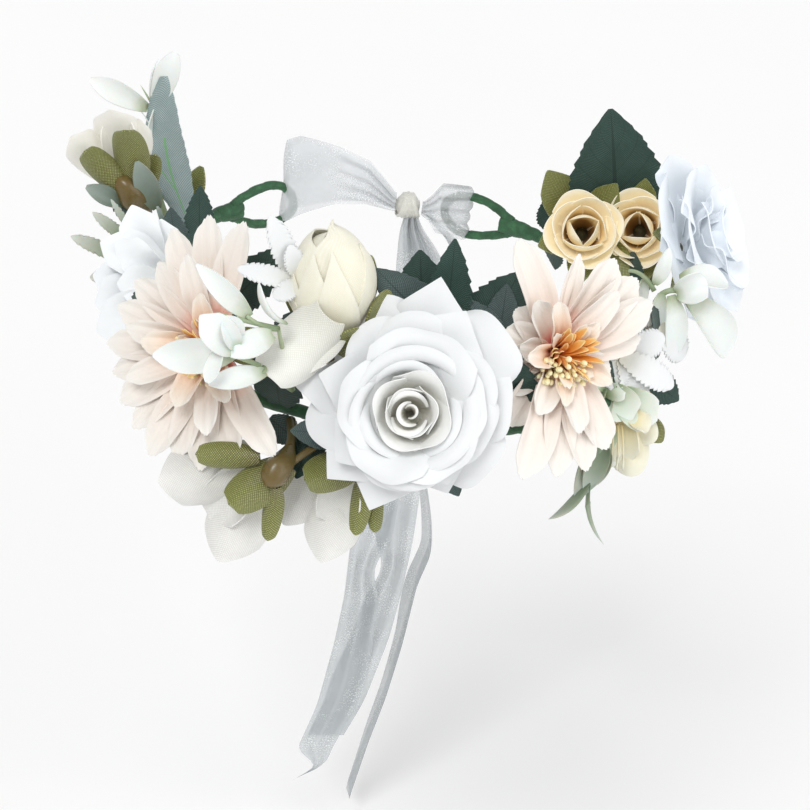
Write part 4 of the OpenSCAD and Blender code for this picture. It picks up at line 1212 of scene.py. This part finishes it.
# petals, sepals, neck and end of the receptacle, its thickness
MAGNOLIAS = {
    "left": (
        (((-52, -94, -12), (-67, -95, -33), TO_FRONT, 20),
         ((-53, -97, -10), (-84, -99, -18), AWAY, 25),
         ((-53, -99, -10), (-64, -104, -43), AWAY, 27)),
        (((-54, -102, -6), (-73.5, -104, -4.5), AWAY, 9),
         ((-45, -104, -7), (-63, -112, -17), AWAY, 15),
         ((-49, -108, -13), (-50, -110, -31), AWAY, 7)),
        (-43, -101, -5), (-52.5, -109, -11.5), 4.6),
    "centre": (
        (((-26, -95, -12), (-27, -96, -33), TO_FRONT, 18),
         ((-33, -91, -11), (-43.5, -94, -35), AWAY, 20),
         ((-26, -97, -11), (-31.5, -102, -43.5), AWAY, 24)),
        (((-22, -102, -6), (-40, -107, -10.5), AWAY, 14),
         ((-21, -104, -9), (-22.5, -107, -30), AWAY, 7.5),
         ((-18.5, -102, -12), (-16, -105, -30), AWAY, 6)),
        (-17, -98, -2), (-22, -103, -10), 4.0),
    "top": (
        (((-95, 33, 29), (-100, 36, 51), TO_FRONT, 16), ((-94, 31, 29), (-92.5, 34, 50), AWAY, 13),
         ((-98, 28, 29), (-115.5, 28, 44), AWAY, 18), ((-97, 29, 28), (-102.5, 30, 54), AWAY, 21)),
        (((-95, 24, 26), (-110.5, 20, 42), AWAY, 11), ((-92.5, 24, 26), (-97.5, 21, 50), AWAY, 14),
         ((-88, 33, 24), (-86, 34, 37), AWAY, 6)),
        (-86, 29, 17), (-99, 25, 31), 5.6),
}


SMALL_SEPALS = {
    "inner": ((128, 25, 17, 26, 20), (62, 21, 13, 30, 24), (-38, 24, 16, 20, 10),
              (205, 15, 11, 26, 10), (-85, 17, 11, 20, 10)),
    "outer": ((-62, 20, 14, 24, 16), (-22, 20, 12, 26, 20), (95, 18, 11, 30, 20),
              (222, 17, 12, 20, 10)),
}


def make_small_rose(side, spin, tilt):
    """Rolled yellow rose whose petals close in round a dark heart."""
    hub, face = whorl_of(f"{side}_small_rose_petals")
    face = unit(face + np.asarray(tilt))
    rose, heart = Cloth(), Cloth()
    soft = dict(foot=0.5, widest=0.6, end=0.9, tip=2.3, tip_depth=0.24, cup=(68, 52),
                roll=(0, 30), curl=32, wave=0.6, nv=19, nu=19)
    turns = np.array((0, 95, 185, 275)) + spin
    whorl(rose, hub, face, [(a, 17, 20, 24, 72) for a in turns], radius=3, vary=5, **soft)
    whorl(rose, hub, face, [(a + 48, 17, 19, 30, 92) for a in turns], radius=3, vary=5, **soft)
    rose.build(f"{side}_small_rose_spiral", YELLOW, slot="yellow_petal",
               replaces=[f"{side}_small_rose_petals"])
    whorl(heart, hub, face, [(a, 17, 17, 38, 114) for a in spin + np.array((20, 140, 255))],
          radius=3, vary=4, **dict(soft, curl=10))
    whorl(heart, hub, face, [(a, 16.5, 13, 50, 118) for a in spin + np.array((80, 200, 320))],
          radius=2.4, vary=4, **dict(soft, curl=0))
    heart.build(f"{side}_small_rose_heart", YELLOW_HEART, slot="yellow_petal")
    sepals, wire = Cloth(), Cloth()
    whorl(sepals, hub - 0.5 * face, face, SMALL_SEPALS[side], radius=3.0, cup=(45, 30), thick=0.5,
          **SEPAL)
    sepals.build(f"{side}_small_rose_sepals", OLIVE, slot="olive_sepal",
                 replaces=[f"{side}_small_rose_calyx"])
    stem_to(wire, f"{side}_small_rose_calyx", hub - face)
    wire.bead(hub - 2 * face, 3.4, 1.0, face)
    wire.build(f"{side}_small_rose_wire", TAPE_BROWN, slot="moulded_stem")


def make_ruffled_rose():
    """Four rows of wavy petals, each more upright than the row outside it."""
    hub, face = whorl_of("ruffled_rose_outer_petals")
    hub, face = hub + np.array((2.5, 0, 0)), unit(face + np.array((0.1, -0.1, 0)))
    soft = dict(foot=0.4, widest=0.6, end=0.95, tip=2.6, nv=19, nu=19)
    outer = Cloth()
    rosette(outer, hub, face, 6, 31, 33, start=10, radius=1.5, rise=(16, 4), tip_depth=0.2,
            cup=(20, 5), roll=(0, 40), curl=15, wave=2.4, waves=1.3, **soft)
    rosette(outer, hub, face, 6, 28, 30, start=40, radius=1.5, lift=1.5, rise=(34, 20),
            tip_depth=0.2, cup=(30, 12), roll=(0, 50), curl=25, wave=2.6, waves=1.6, **soft)
    outer.build("ruffled_rose_skirt", RUFFLE, slot="white_petal",
                replaces=["ruffled_rose_outer_petals"])
    inner = Cloth()
    rosette(inner, hub, face, 5, 23, 25, start=8, radius=2, lift=3, rise=(56, 36), tip_depth=0.16,
            cup=(48, 25), roll=(0, 60), curl=30, wave=2.2, waves=1.6, **soft)
    rosette(inner, hub, face, 4, 17, 19, start=50, radius=2, lift=4, rise=(74, 58),
            tip_depth=0.14, cup=(70, 45), curl=20, wave=1.4, waves=1.4, **soft)
    inner.build("ruffled_rose_middle", RUFFLE, slot="white_petal",
                replaces=["ruffled_rose_inner_petals"])
    calyx("ruffled_rose_sepals", "ruffled_rose_calyx", hub, face, 5, 15, 8, (0, -18), back=1.4)


LILY = (
    # root, tip, facing direction, width
    ((-81, -4, 12), (-84, -2, 28), (-0.2, -0.8, 0.5), 12),
    ((-84, -6, 12), (-94, -2, 32.5), (-0.3, -0.8, 0.5), 14),
    ((-82, -10, 11), (-104, -8, 21), (-0.4, -0.6, 0.7), 16),
    ((-82, -12, 8), (-106, -11, 10), (-0.4, -0.8, 0.4), 15),
    ((-82, -15, 8), (-105, -16, 2), (-0.4, -0.8, 0.4), 16),
    ((-80, -19, 6), (-104, -22, -6), (-0.4, -0.8, 0.3), 17),
    ((-78, -22, 4), (-93, -29, -9.5), (-0.3, -0.9, 0.1), 17),
    ((-83, -12, 12), (-99, -11, 23), (-0.7, -0.5, 0.6), 12),
    ((-82, -17, 10), (-98, -19, 11), (-0.5, -0.7, 0.4), 13),
)


def make_lily():
    """Overlapping pointed petals at the left end."""
    lily = Cloth()
    for root, point, face, width in LILY:
        lay(lily, root, point, face, width, foot=0.35, widest=0.55, end=0.6, tip=1.5,
            tip_depth=0.24, rise=(34, -26), cup=(60, 10), roll=(0, 60), curl=20, wave=1.3,
            phase=rng.uniform(0, 6), nv=23, nu=19)
    lily.build("lily_blossom", COOL, slot="white_petal", replaces=["lily_petals"])
    wire = Cloth()
    stem_to(wire, "lily_stem", np.array((-83.0, -12.0, 8.0)))
    wire.build("lily_wire", SAGE_STEM, slot="sage_plastic", replaces=["lily_stem"])


def make_freesia():
    """A sage cup of petals, a yellow trumpet under it, and three thin stamens."""
    cups, bud, wire = Cloth(), Cloth(), Cloth()
    shape = dict(foot=0.4, widest=0.55, end=0.4, tip=1.7, tip_depth=0.25, rise=(28, -20),
                 cup=(55, 30), roll=(0, 40), nv=19, nu=15)
    rows = (((62, -64, 6), (56, -70, -11), TO_FRONT, 11),
            ((60, -64, 6), (52, -69, -6), TO_FRONT, 10),
            ((62, -66, 3), (81, -65, -8), TO_FRONT, 14),
            ((62, -66, 5), (71, -70, -5), TO_FRONT, 12),
            ((61, -67, 4), (60, -67, 9.5), (0.1, -0.9, 0.3), 8),
            ((61, -68, 3), (67.5, -68, 5), (0.2, -0.7, 0.7), 8),
            ((63, -69, -9), (61.5, -74, -24), AWAY, 13))
    for root, point, face, width in rows:
        lay(cups, root, point, face, width, phase=rng.uniform(0, 6), **shape)
    cups.build("freesia_cup", SAGE, slot="sage_plastic", replaces=["freesia_petals"])
    rows = (((67, -66, -4), (75, -72, -25.5), AWAY, 17), ((70, -65, -4), (81, -67, -15), AWAY, 12),
            ((65, -67, -5), (66, -72, -20), AWAY, 10), ((68, -64, -4), (71, -68, -23), TO_FRONT, 13),
            ((64, -69, -7), (59.5, -71, -5), (-0.2, -0.8, 0.5), 8),
            ((70, -68, -6), (77, -71, -8), (0.2, -0.6, 0.7), 9))
    for root, point, face, width in rows:
        lay(bud, root, point, face, width, foot=0.5, widest=0.6, end=0.85, tip=2.2, tip_depth=0.3,
            rise=(24, -16), cup=(74, 50), wave=0.6, phase=rng.uniform(0, 6), nv=21, nu=17)
    for x in (-1.5, 0.2, 1.6):
        bud.tube(bezier([(66 + x, -70, -7), (66 + x, -76, -11), (66.5 + 1.6 * x, -76, -21)],
                        np.linspace(0, 1, 10)), 0.4, 6)
    bud.build("freesia_trumpet", YELLOW_SOFT, slot="yellow_petal", replaces=["freesia_bud"])
    stem_to(wire, "freesia_stem", np.array((64.0, -65.0, 5.0)))
    wire.build("freesia_wire", SAGE_STEM, slot="sage_plastic", replaces=["freesia_stem"])


# ---------------------------------------------------------------- leaves and sprigs

LEAF = dict(foot=0.25, widest=0.42, end=0.04, tip=2.0, tip_depth=0.0, nv=41, nu=13)


def leaf(cloth, base, tip, face, width, rise=(12, -14), cup=(16, 10), teeth=0.16, count=11,
         **more):
    """A leaf with that many teeth down each side."""
    length = np.linalg.norm(np.asarray(tip) - base)
    grid = petal(length * 1.01, width, rise=rise, cup=cup, teeth=teeth, tooth_count=count,
                 **dict(LEAF, **more))
    cloth.shell(put(grid, np.asarray(base, float), np.asarray(tip) - base, face))


def leaves_like(name, node, material, grow=1.0, **shape):
    """One leaf for each flat solid of a node."""
    cloth = Cloth()
    for points in parts_of(node):
        base, tip, face, width = leaf_of(points)
        leaf(cloth, base, tip, face, width * grow, **shape)
    cloth.build(name, material, slot="dark_leaf", replaces=[node])


def make_leaves():
    """The big leaf, the grey one whose pale underside shows, and the small dark ones."""
    base, tip, face, _ = leaf_of(parts_of("big_leaf")[0])
    big = Cloth()
    leaf(big, base, tip, face, 40, widest=0.38, foot=0.3, count=15, teeth=0.1, rise=(16, -12),
         cup=(14, 6))
    stem = Cloth()
    root = on_ring(29, 0, TAPE_R)
    stem.tube(bezier([root, (84, 50, 8), base], np.linspace(0, 1, 10)), 0.9, 8)
    big.build("big_dark_leaf", DARK_LEAF, body="big_leaf", slot="dark_leaf", replaces=["big_leaf"])
    stem.build("big_dark_leaf_wire", TAPE_BROWN, body="big_leaf", slot="moulded_stem")
    face = leaf_of(parts_of("grey_leaf")[0])[2]
    pale = Cloth()
    leaf(pale, (-70.5, 50, 3), (-84, 50, 60), face, 18, count=15, teeth=0.07, widest=0.5,
         end=0.12, rise=(10, -10), cup=(16, -8), wave=1.0, waves=1.4, sweep=-3.0, nu=17)
    pale.build("grey_leaf_underside", UNDER_LEAF, slot="grey_leaf", replaces=["grey_leaf"])
    leaves_like("junction_leaves", "left_leaves", DARK_LEAF)
    leaves_like("right_edge_leaves", "right_leaves", DARK_LEAF)
    leaves_like("low_leaves", "low_front_leaves", SLATE_LEAF, teeth=0.08)
    leaves_like("top_leaves", "top_front_leaves", DARK_LEAF, grow=1.1)


def leaflet(cloth, root, point, face, width, **shape):
    """A moulded leaflet, thicker than a cloth leaf."""
    own = dict(foot=0.35, widest=0.5, end=0.15, tip_depth=0.0, rise=(18, -18), cup=(40, 25),
               nv=15, nu=11, thick=0.45)
    own.update(shape)
    lay(cloth, root, point, face, width, **own)


def stalk(cloth, points, r):
    """A moulded stem that thins towards its tip."""
    t = np.linspace(0, 1, 14)
    cloth.tube(bezier(points, t), r * (1.15 - 0.35 * t), 8)


def make_top_sprig():
    """Waxy sprig above the top left bud: white leaflets on sage stems."""
    sprig, stems = Cloth(), Cloth()
    root, via, end = np.array([-79, 47.5, 5]), np.array([-90, 60, 25]), np.array([-84, 52, 48])
    stalk(stems, (root, via, end), 1.0)
    claw(stems, ((-84, 53, 42), (-88, 53, 50), (-92, 52, 56)), 1.2)
    to = unit((-0.2, -0.85, 0.4))
    leaflet(sprig, (-85.5, 52, 49), (-80, 52, 68.5), to, 9.5, widest=0.6, end=0.3, tip=2.2)
    leaflet(sprig, (-85, 54, 50), (-88, 52, 34), unit((0.5, -0.6, 0.2)), 7, rise=(10, -6))
    leaflet(sprig, (-89, 53, 47), (-109.5, 51, 57), to, 8.5, widest=0.6, end=0.2, rise=(22, -18))
    claw(sprig, ((-87.5, 53, 47), (-90, 52, 58), (-86, 51, 66.5)), 1.2)
    claw(sprig, ((-86, 53, 38), (-88, 53, 42), (-92, 52, 47)), 0.9)
    sprig.build("top_left_sprig_leaflets", WAX, body="top_left_sprig", slot="sage_plastic",
                replaces=["top_left_sprig"])
    stems.build("top_left_sprig_stems", SAGE_STEM, body="top_left_sprig", slot="sage_plastic")


def make_left_spray():
    """Curled waxy leaflets over the left daisy."""
    spray, stems = Cloth(), Cloth()
    root = np.array([-45, -95, 14])
    to = unit((-0.25, -0.85, 0.45))
    fork = (-52, -104, 39)
    for points in ((root, (-50, -98, 30), fork), (fork, (-60, -107, 42), (-71, -111.5, 46.5)),
                   (root, (-52, -99, 20), (-57, -107, 28)),
                   ((-57, -107, 28), (-60, -110, 31), (-67, -112, 34)),
                   (fork, (-56, -106, 39), (-62, -108, 44.5)),
                   ((-56, -106, 27), (-54, -107, 27), (-57, -108, 25.5))):
        stalk(stems, points, 0.75)
    stems.build("left_spray_stems", SAGE_STEM, slot="sage_plastic")
    claw(spray, ((-50, -104, 41), (-58, -108, 45), (-59.5, -109, 57)), 2.5, flat=0.4)
    inwards = unit((0.3, -0.9, 0.2))
    rows = (
        ((-61, -107, 44), (-77, -101, 57), to, 7, dict(widest=0.4, rise=(14, -14))),
        ((-65, -111, 34), (-88.5, -112, 32.5), unit((0.1, -0.8, 0.6)), 11,
         dict(end=0.1, rise=(-26, 26), cup=(-40, -20), nv=21, nu=15)),
        ((-65, -111, 35), (-76, -114, 47), inwards, 11,
         dict(widest=0.55, end=0.35, tip=2.0, tip_depth=0.2, rise=(34, -30), cup=(50, 20),
              nv=19, nu=15)),
        ((-65, -111, 36), (-69, -113, 46), unit((0.7, -0.7, 0.1)), 9,
         dict(widest=0.55, end=0.3, rise=(20, -24))),
        ((-54, -107, 38.5), (-66.5, -113, 34), to, 8.5, dict(rise=(24, -24))),
        ((-55, -107, 26), (-72, -113, 24.5), to, 7, dict(widest=0.55, rise=(20, -24))),
        ((-69, -113, 37), (-72.5, -116, 26.5), to, 5, dict(widest=0.6, end=0.3, rise=(20, -30))),
    )
    for root, point, face, width, shape in rows:
        leaflet(spray, root, point, face, width, **shape)
    spray.build("left_spray_leaflets", WAX, slot="sage_plastic", replaces=["left_spray"])


def make_right_spray():
    """Cupped waxy leaflets on the ruffled rose."""
    spray = Cloth()
    root = np.array([86, -24, 5])
    stems = Cloth()
    stalk(stems, (root, (82, -28, 24), (90, -30, 27), (97, -28, 20)), 1.1)
    stalk(stems, ((84, -27, 22), (80, -24, 28), (76, -20, 26)), 0.8)
    stems.build("right_spray_stems", SAGE_STEM, slot="sage_plastic")
    to = unit((0.2, -0.85, 0.5))
    rows = (
        ((91, -30, 23), (100.5, -31, 28), to, 12,
         dict(end=0.6, tip=2.2, tip_depth=0.2, rise=(40, -30), cup=(70, 50), nv=17, nu=15)),
        ((92, -28, 27), (111, -23, 24), unit((0.1, -0.5, 0.85)), 11,
         dict(rise=(24, -24), cup=(60, 30))),
        ((96, -28, 20), (116, -23, -2), to, 15,
         dict(widest=0.55, end=0.3, rise=(26, -26), cup=(55, 35), nv=19, nu=15)),
        ((89, -30, 22), (93, -32, 0), to, 10, dict(end=0.3, rise=(20, -22), cup=(50, 30), nv=17)),
        ((86, -29, 22), (82, -32, 3), to, 8, dict(widest=0.45, rise=(20, -20))),
        ((81, -22, 24), (81, -23, 12), to, 5, dict(widest=0.4, rise=(10, -10))),
        ((84, -26, 24), (88, -22, 36), to, 6, dict(widest=0.4)),
    )
    for root, point, face, width, shape in rows:
        leaflet(spray, root, point, face, width, **shape)
    spray.build("right_spray_leaflets", WAX, slot="sage_plastic", replaces=["right_spray"])


def make_hanging_sprig():
    """Dull leaflets and two curled tips that hang at the lower right."""
    sprig = Cloth()
    to = unit((-0.1, -0.95, 0.2))
    stalk(sprig, ((62.4, -75, -4), (60, -76, -12), (56.5, -80, -24)), 1.5)
    for root, point, width, rise in (
            ((60.5, -75, -9), (53.5, -81, -30), 9, (16, -10)),
            ((61, -76, -10), (56, -81, -27), 8, (20, -14)),
            ((61, -74, -12), (60, -79, -25), 8, (20, -10))):
        leaflet(sprig, root, point, to, width, widest=0.42, rise=rise, nv=21)
    claw(sprig, ((57, -80, -23), (52, -83, -33), (44.5, -84, -36)), 2.4)
    claw(sprig, ((57.5, -80, -23), (56, -82, -36), (65.5, -82, -46.5)), 2.1)
    sprig.build("hanging_sprig_leaflets", DULL_SAGE, body="hanging_leaves", slot="sage_plastic",
                replaces=["hanging_leaves"])


FRILL = dict(foot=0.35, widest=0.5, end=0.3, tip_depth=0.1, teeth=0.24, tooth_count=12, nv=49,
             nu=9, cup=(24, 10), rise=(16, -16))


def make_frilled_leaflets():
    """Small leaflets with deeply toothed edges."""
    frills = Cloth()
    to = unit((0.1, -0.85, 0.45))
    rows = (((65, -64, 15), (85, -63, 4), 11), ((66, -63, 15), (81, -56, 19), 11),
            ((65, -64, 14), (75, -66, -1), 11), ((64, -64, 14), (63.5, -68, 4), 10),
            ((65, -63, 15), (57, -65, 20), 8), ((68, -63, 14), (76, -60, 11), 9),
            ((86, -34, 12), (98, -30, -2), 12), ((84, -32, 14), (72, -34, 16), 9),
            ((-47, -84, 47), (-55.5, -84, 66), 9), ((-46, -86, 46), (-64, -86, 49.5), 7),
            ((-45, -87, 46), (-53, -89, 42), 7), ((-46, -86, 48), (-49, -86, 58), 7))
    for base, point, width in rows:
        lay(frills, base, point, to, width, **FRILL)
    frills.build("frilled_leaflets", WHITE, slot="white_petal")
    sage = Cloth()
    rows = (((-92, 6, 8), (-114, 8, 15.5), 6), ((-90, 8, 12), (-107, 10, 24), 5),
            ((-92, 2, 4), (-107, 0, 4), 7), ((-90, 8, 14), (-101, 8, 30), 3))
    for base, point, width in rows:
        lay(sage, base, point, TO_FRONT, width, **dict(FRILL, teeth=0.25))
    sage.build("left_end_leaflets", DULL_SAGE, slot="sage_plastic")


def make_top_bud_leaves():
    """Leaves on the stem of the top left bud, which move with it."""
    dark, waxy = Cloth(), Cloth()
    leaf(dark, (-92, 27, 14), (-101.5, 26, 27), TO_FRONT, 8, count=8)
    dark.build("top_bud_dark_leaf", SLATE_LEAF, body="top_magnolia", slot="dark_leaf")
    leaflet(waxy, (-84.5, 26, 20), (-92.5, 24, 38), TO_FRONT, 9, rise=(14, -10))
    stalk(waxy, ((-81, 26, 8), (-81, 25, 12), (-84.5, 26, 21)), 1.0)
    leaflet(waxy, (-96, 26, 21), (-109.5, 24, 27.5), TO_FRONT, 7, thick=0.8, cup=(50, 30))
    waxy.build("top_bud_waxy_leaves", DARK_SAGE, body="top_magnolia", slot="sage_plastic")


def make_filling():
    """Leaves behind and between the flowers, which hide the ring all round the front."""
    back = Cloth()
    # angle round the ring, height, width, how far it leans out
    rows = ((205, 20, 18, 24), (222, 24, 20, 22), (240, 26, 20, 24), (256, 30, 22, 10),
            (284, 26, 22, -4), (300, 22, 20, -34), (318, 20, 20, -30), (336, 20, 20, -16),
            (354, 10, 14, 10), (16, 12, 16, 4), (36, 14, 16, 14))
    for azimuth, tall, wide, out in rows:
        base = on_ring(azimuth, 1.5, 1.0)
        outward = on_ring(azimuth, 1.0) - on_ring(azimuth)
        leaf(back, base, base + outward * out * 0.3 + UP * tall, outward, wide, count=10)
        if 250 < azimuth < 320:     # the flowers stand close to the ring here
            continue
        low = on_ring(azimuth + 8, 2.0, -2.0)
        leaf(back, low, low + outward * out * 0.55 - UP * 13, outward + 0.3 * UP, wide * 0.7,
             count=9)
    back.build("filling_leaves", DARK_LEAF, slot="dark_leaf")
    slate = Cloth()
    rows = (((20, -84, 22), (4, -78, 40), 16), ((20, -80, 22), (22, -71, 42), 12),
            ((2, -84, 28), (-21, -78, 48), 17), ((-50, -80, 8), (-36, -84, 40), 20),
            ((-50, -84, -2), (-40, -87, -9), 10))
    for base, tip, width in rows:
        leaf(slate, base, tip, TO_FRONT, width, count=11, teeth=0.1)
    leaf(slate, (-76, 24, 2), (-80, 22, 22), TO_FRONT, 12, count=9)
    leaf(slate, (-2, -95, -3), (7, -99, -15.5), TO_FRONT, 10, count=8)
    slate.build("filling_slate_leaves", SLATE_LEAF, slot="dark_leaf")
    pads = Cloth()
    rows = (((76, -60, -8), (85.5, -61, -18), 8), ((-72, 58, 6), (-68, 58, 24), 9),
            ((-93, 18, 4), (-96, 14, 13), 11))
    for base, tip, width in rows:
        leaflet(pads, base, tip, TO_FRONT, width, thick=0.8, cup=(50, 30))
    pads.build("filling_sepals", OLIVE, slot="olive_sepal")


# ---------------------------------------------------------------- setting

def make_sun(name, place, strength, spread):
    """Soft sunlight from place, aimed at the crown. spread is its angle in radians."""
    data = bpy.data.lights.new(name, "SUN")
    data.energy, data.angle = strength, spread
    light = bpy.data.objects.new(name, data)
    light.location = place
    light.rotation_euler = (-Vector(place)).to_track_quat("-Z", "Y").to_euler()
    bpy.context.scene.collection.objects.link(light)


def make_floor():
    """A plain pale floor a little under the tails."""
    floor = bpy.data.meshes.new("floor")
    half, z = 6.0, cad_box[0][2] - 0.012
    floor.from_pydata([(-half, -half, z), (half, -half, z), (half, half, z), (-half, half, z)],
                      [], [(0, 1, 2, 3)])
    f = Finish("floor")
    place = f.add("TexCoord").outputs["Object"]
    tone = f.ramp(f.noise(place, 3.0), [(0.3, grey(0.95)), (0.7, grey(0.96))])
    floor.materials.append(f.finish(f.surface(tone, 0.9, Specular_IOR_Level=0.1)))
    ground = bpy.data.objects.new("floor", floor)
    bpy.context.scene.collection.objects.link(ground)


def make_camera():
    """The photo's view: a long lens from in front, a little above and from the left."""
    aim, distance = Vector((0.0047, -0.0169, -0.0317)), 0.70
    azimuth, elevation, roll = np.radians((-10.6, 27.9, 7.3))
    lens = bpy.data.cameras.new("camera")
    lens.lens, lens.sensor_width = 88, 36
    camera = bpy.data.objects.new("camera", lens)
    level = np.cos(elevation)
    back = Vector((np.sin(azimuth) * level, -np.cos(azimuth) * level, np.sin(elevation)))
    camera.location = aim + back * distance
    turn = (-back).to_track_quat("-Z", "Y").to_matrix() @ Matrix.Rotation(roll, 3, "Z")
    camera.rotation_euler = turn.to_euler()
    bpy.context.scene.collection.objects.link(camera)
    bpy.context.scene.camera = camera


def make_setting():
    """Floor, camera, even white surroundings and two suns."""
    make_floor()
    make_camera()
    world = bpy.data.worlds.new("studio")
    world.use_nodes = True
    world.node_tree.nodes["Background"].inputs[0].default_value = (1, 1, 1, 1)
    world.node_tree.nodes["Background"].inputs[1].default_value = 0.56
    bpy.context.scene.world = world
    bpy.context.scene.view_settings.view_transform = "Standard"
    make_sun("key", (-0.45, -0.75, 0.95), 1.4, 0.4)
    make_sun("fill", (0.9, -0.7, 0.5), 1.05, 1.0)


for node in ("frame_wire", "eyelet_wires"):
    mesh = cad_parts[node].data
    mesh.materials.clear()
    mesh.materials.append(STEEL)

make_ring()
make_eyelets()
make_band("ribbon_band_left_gathers", "ribbon_band_left")
make_band("ribbon_band_right_gathers", "ribbon_band_right")
make_knot()
make_wide_tail()
make_narrow_tail()
make_white_rose()
make_daisy("left")
make_daisy("right")
make_cream_bud()
for side, parts in MAGNOLIAS.items():
    make_magnolia(side, *parts)
make_small_rose("inner", 20, (0.1, 0, 0.5))
make_small_rose("outer", 200, (-0.1, 0, 0.05))
make_ruffled_rose()
make_lily()
make_freesia()
make_leaves()
make_top_sprig()
make_left_spray()
make_right_spray()
make_hanging_sprig()
make_frilled_leaflets()
make_top_bud_leaves()
make_filling()
make_setting()
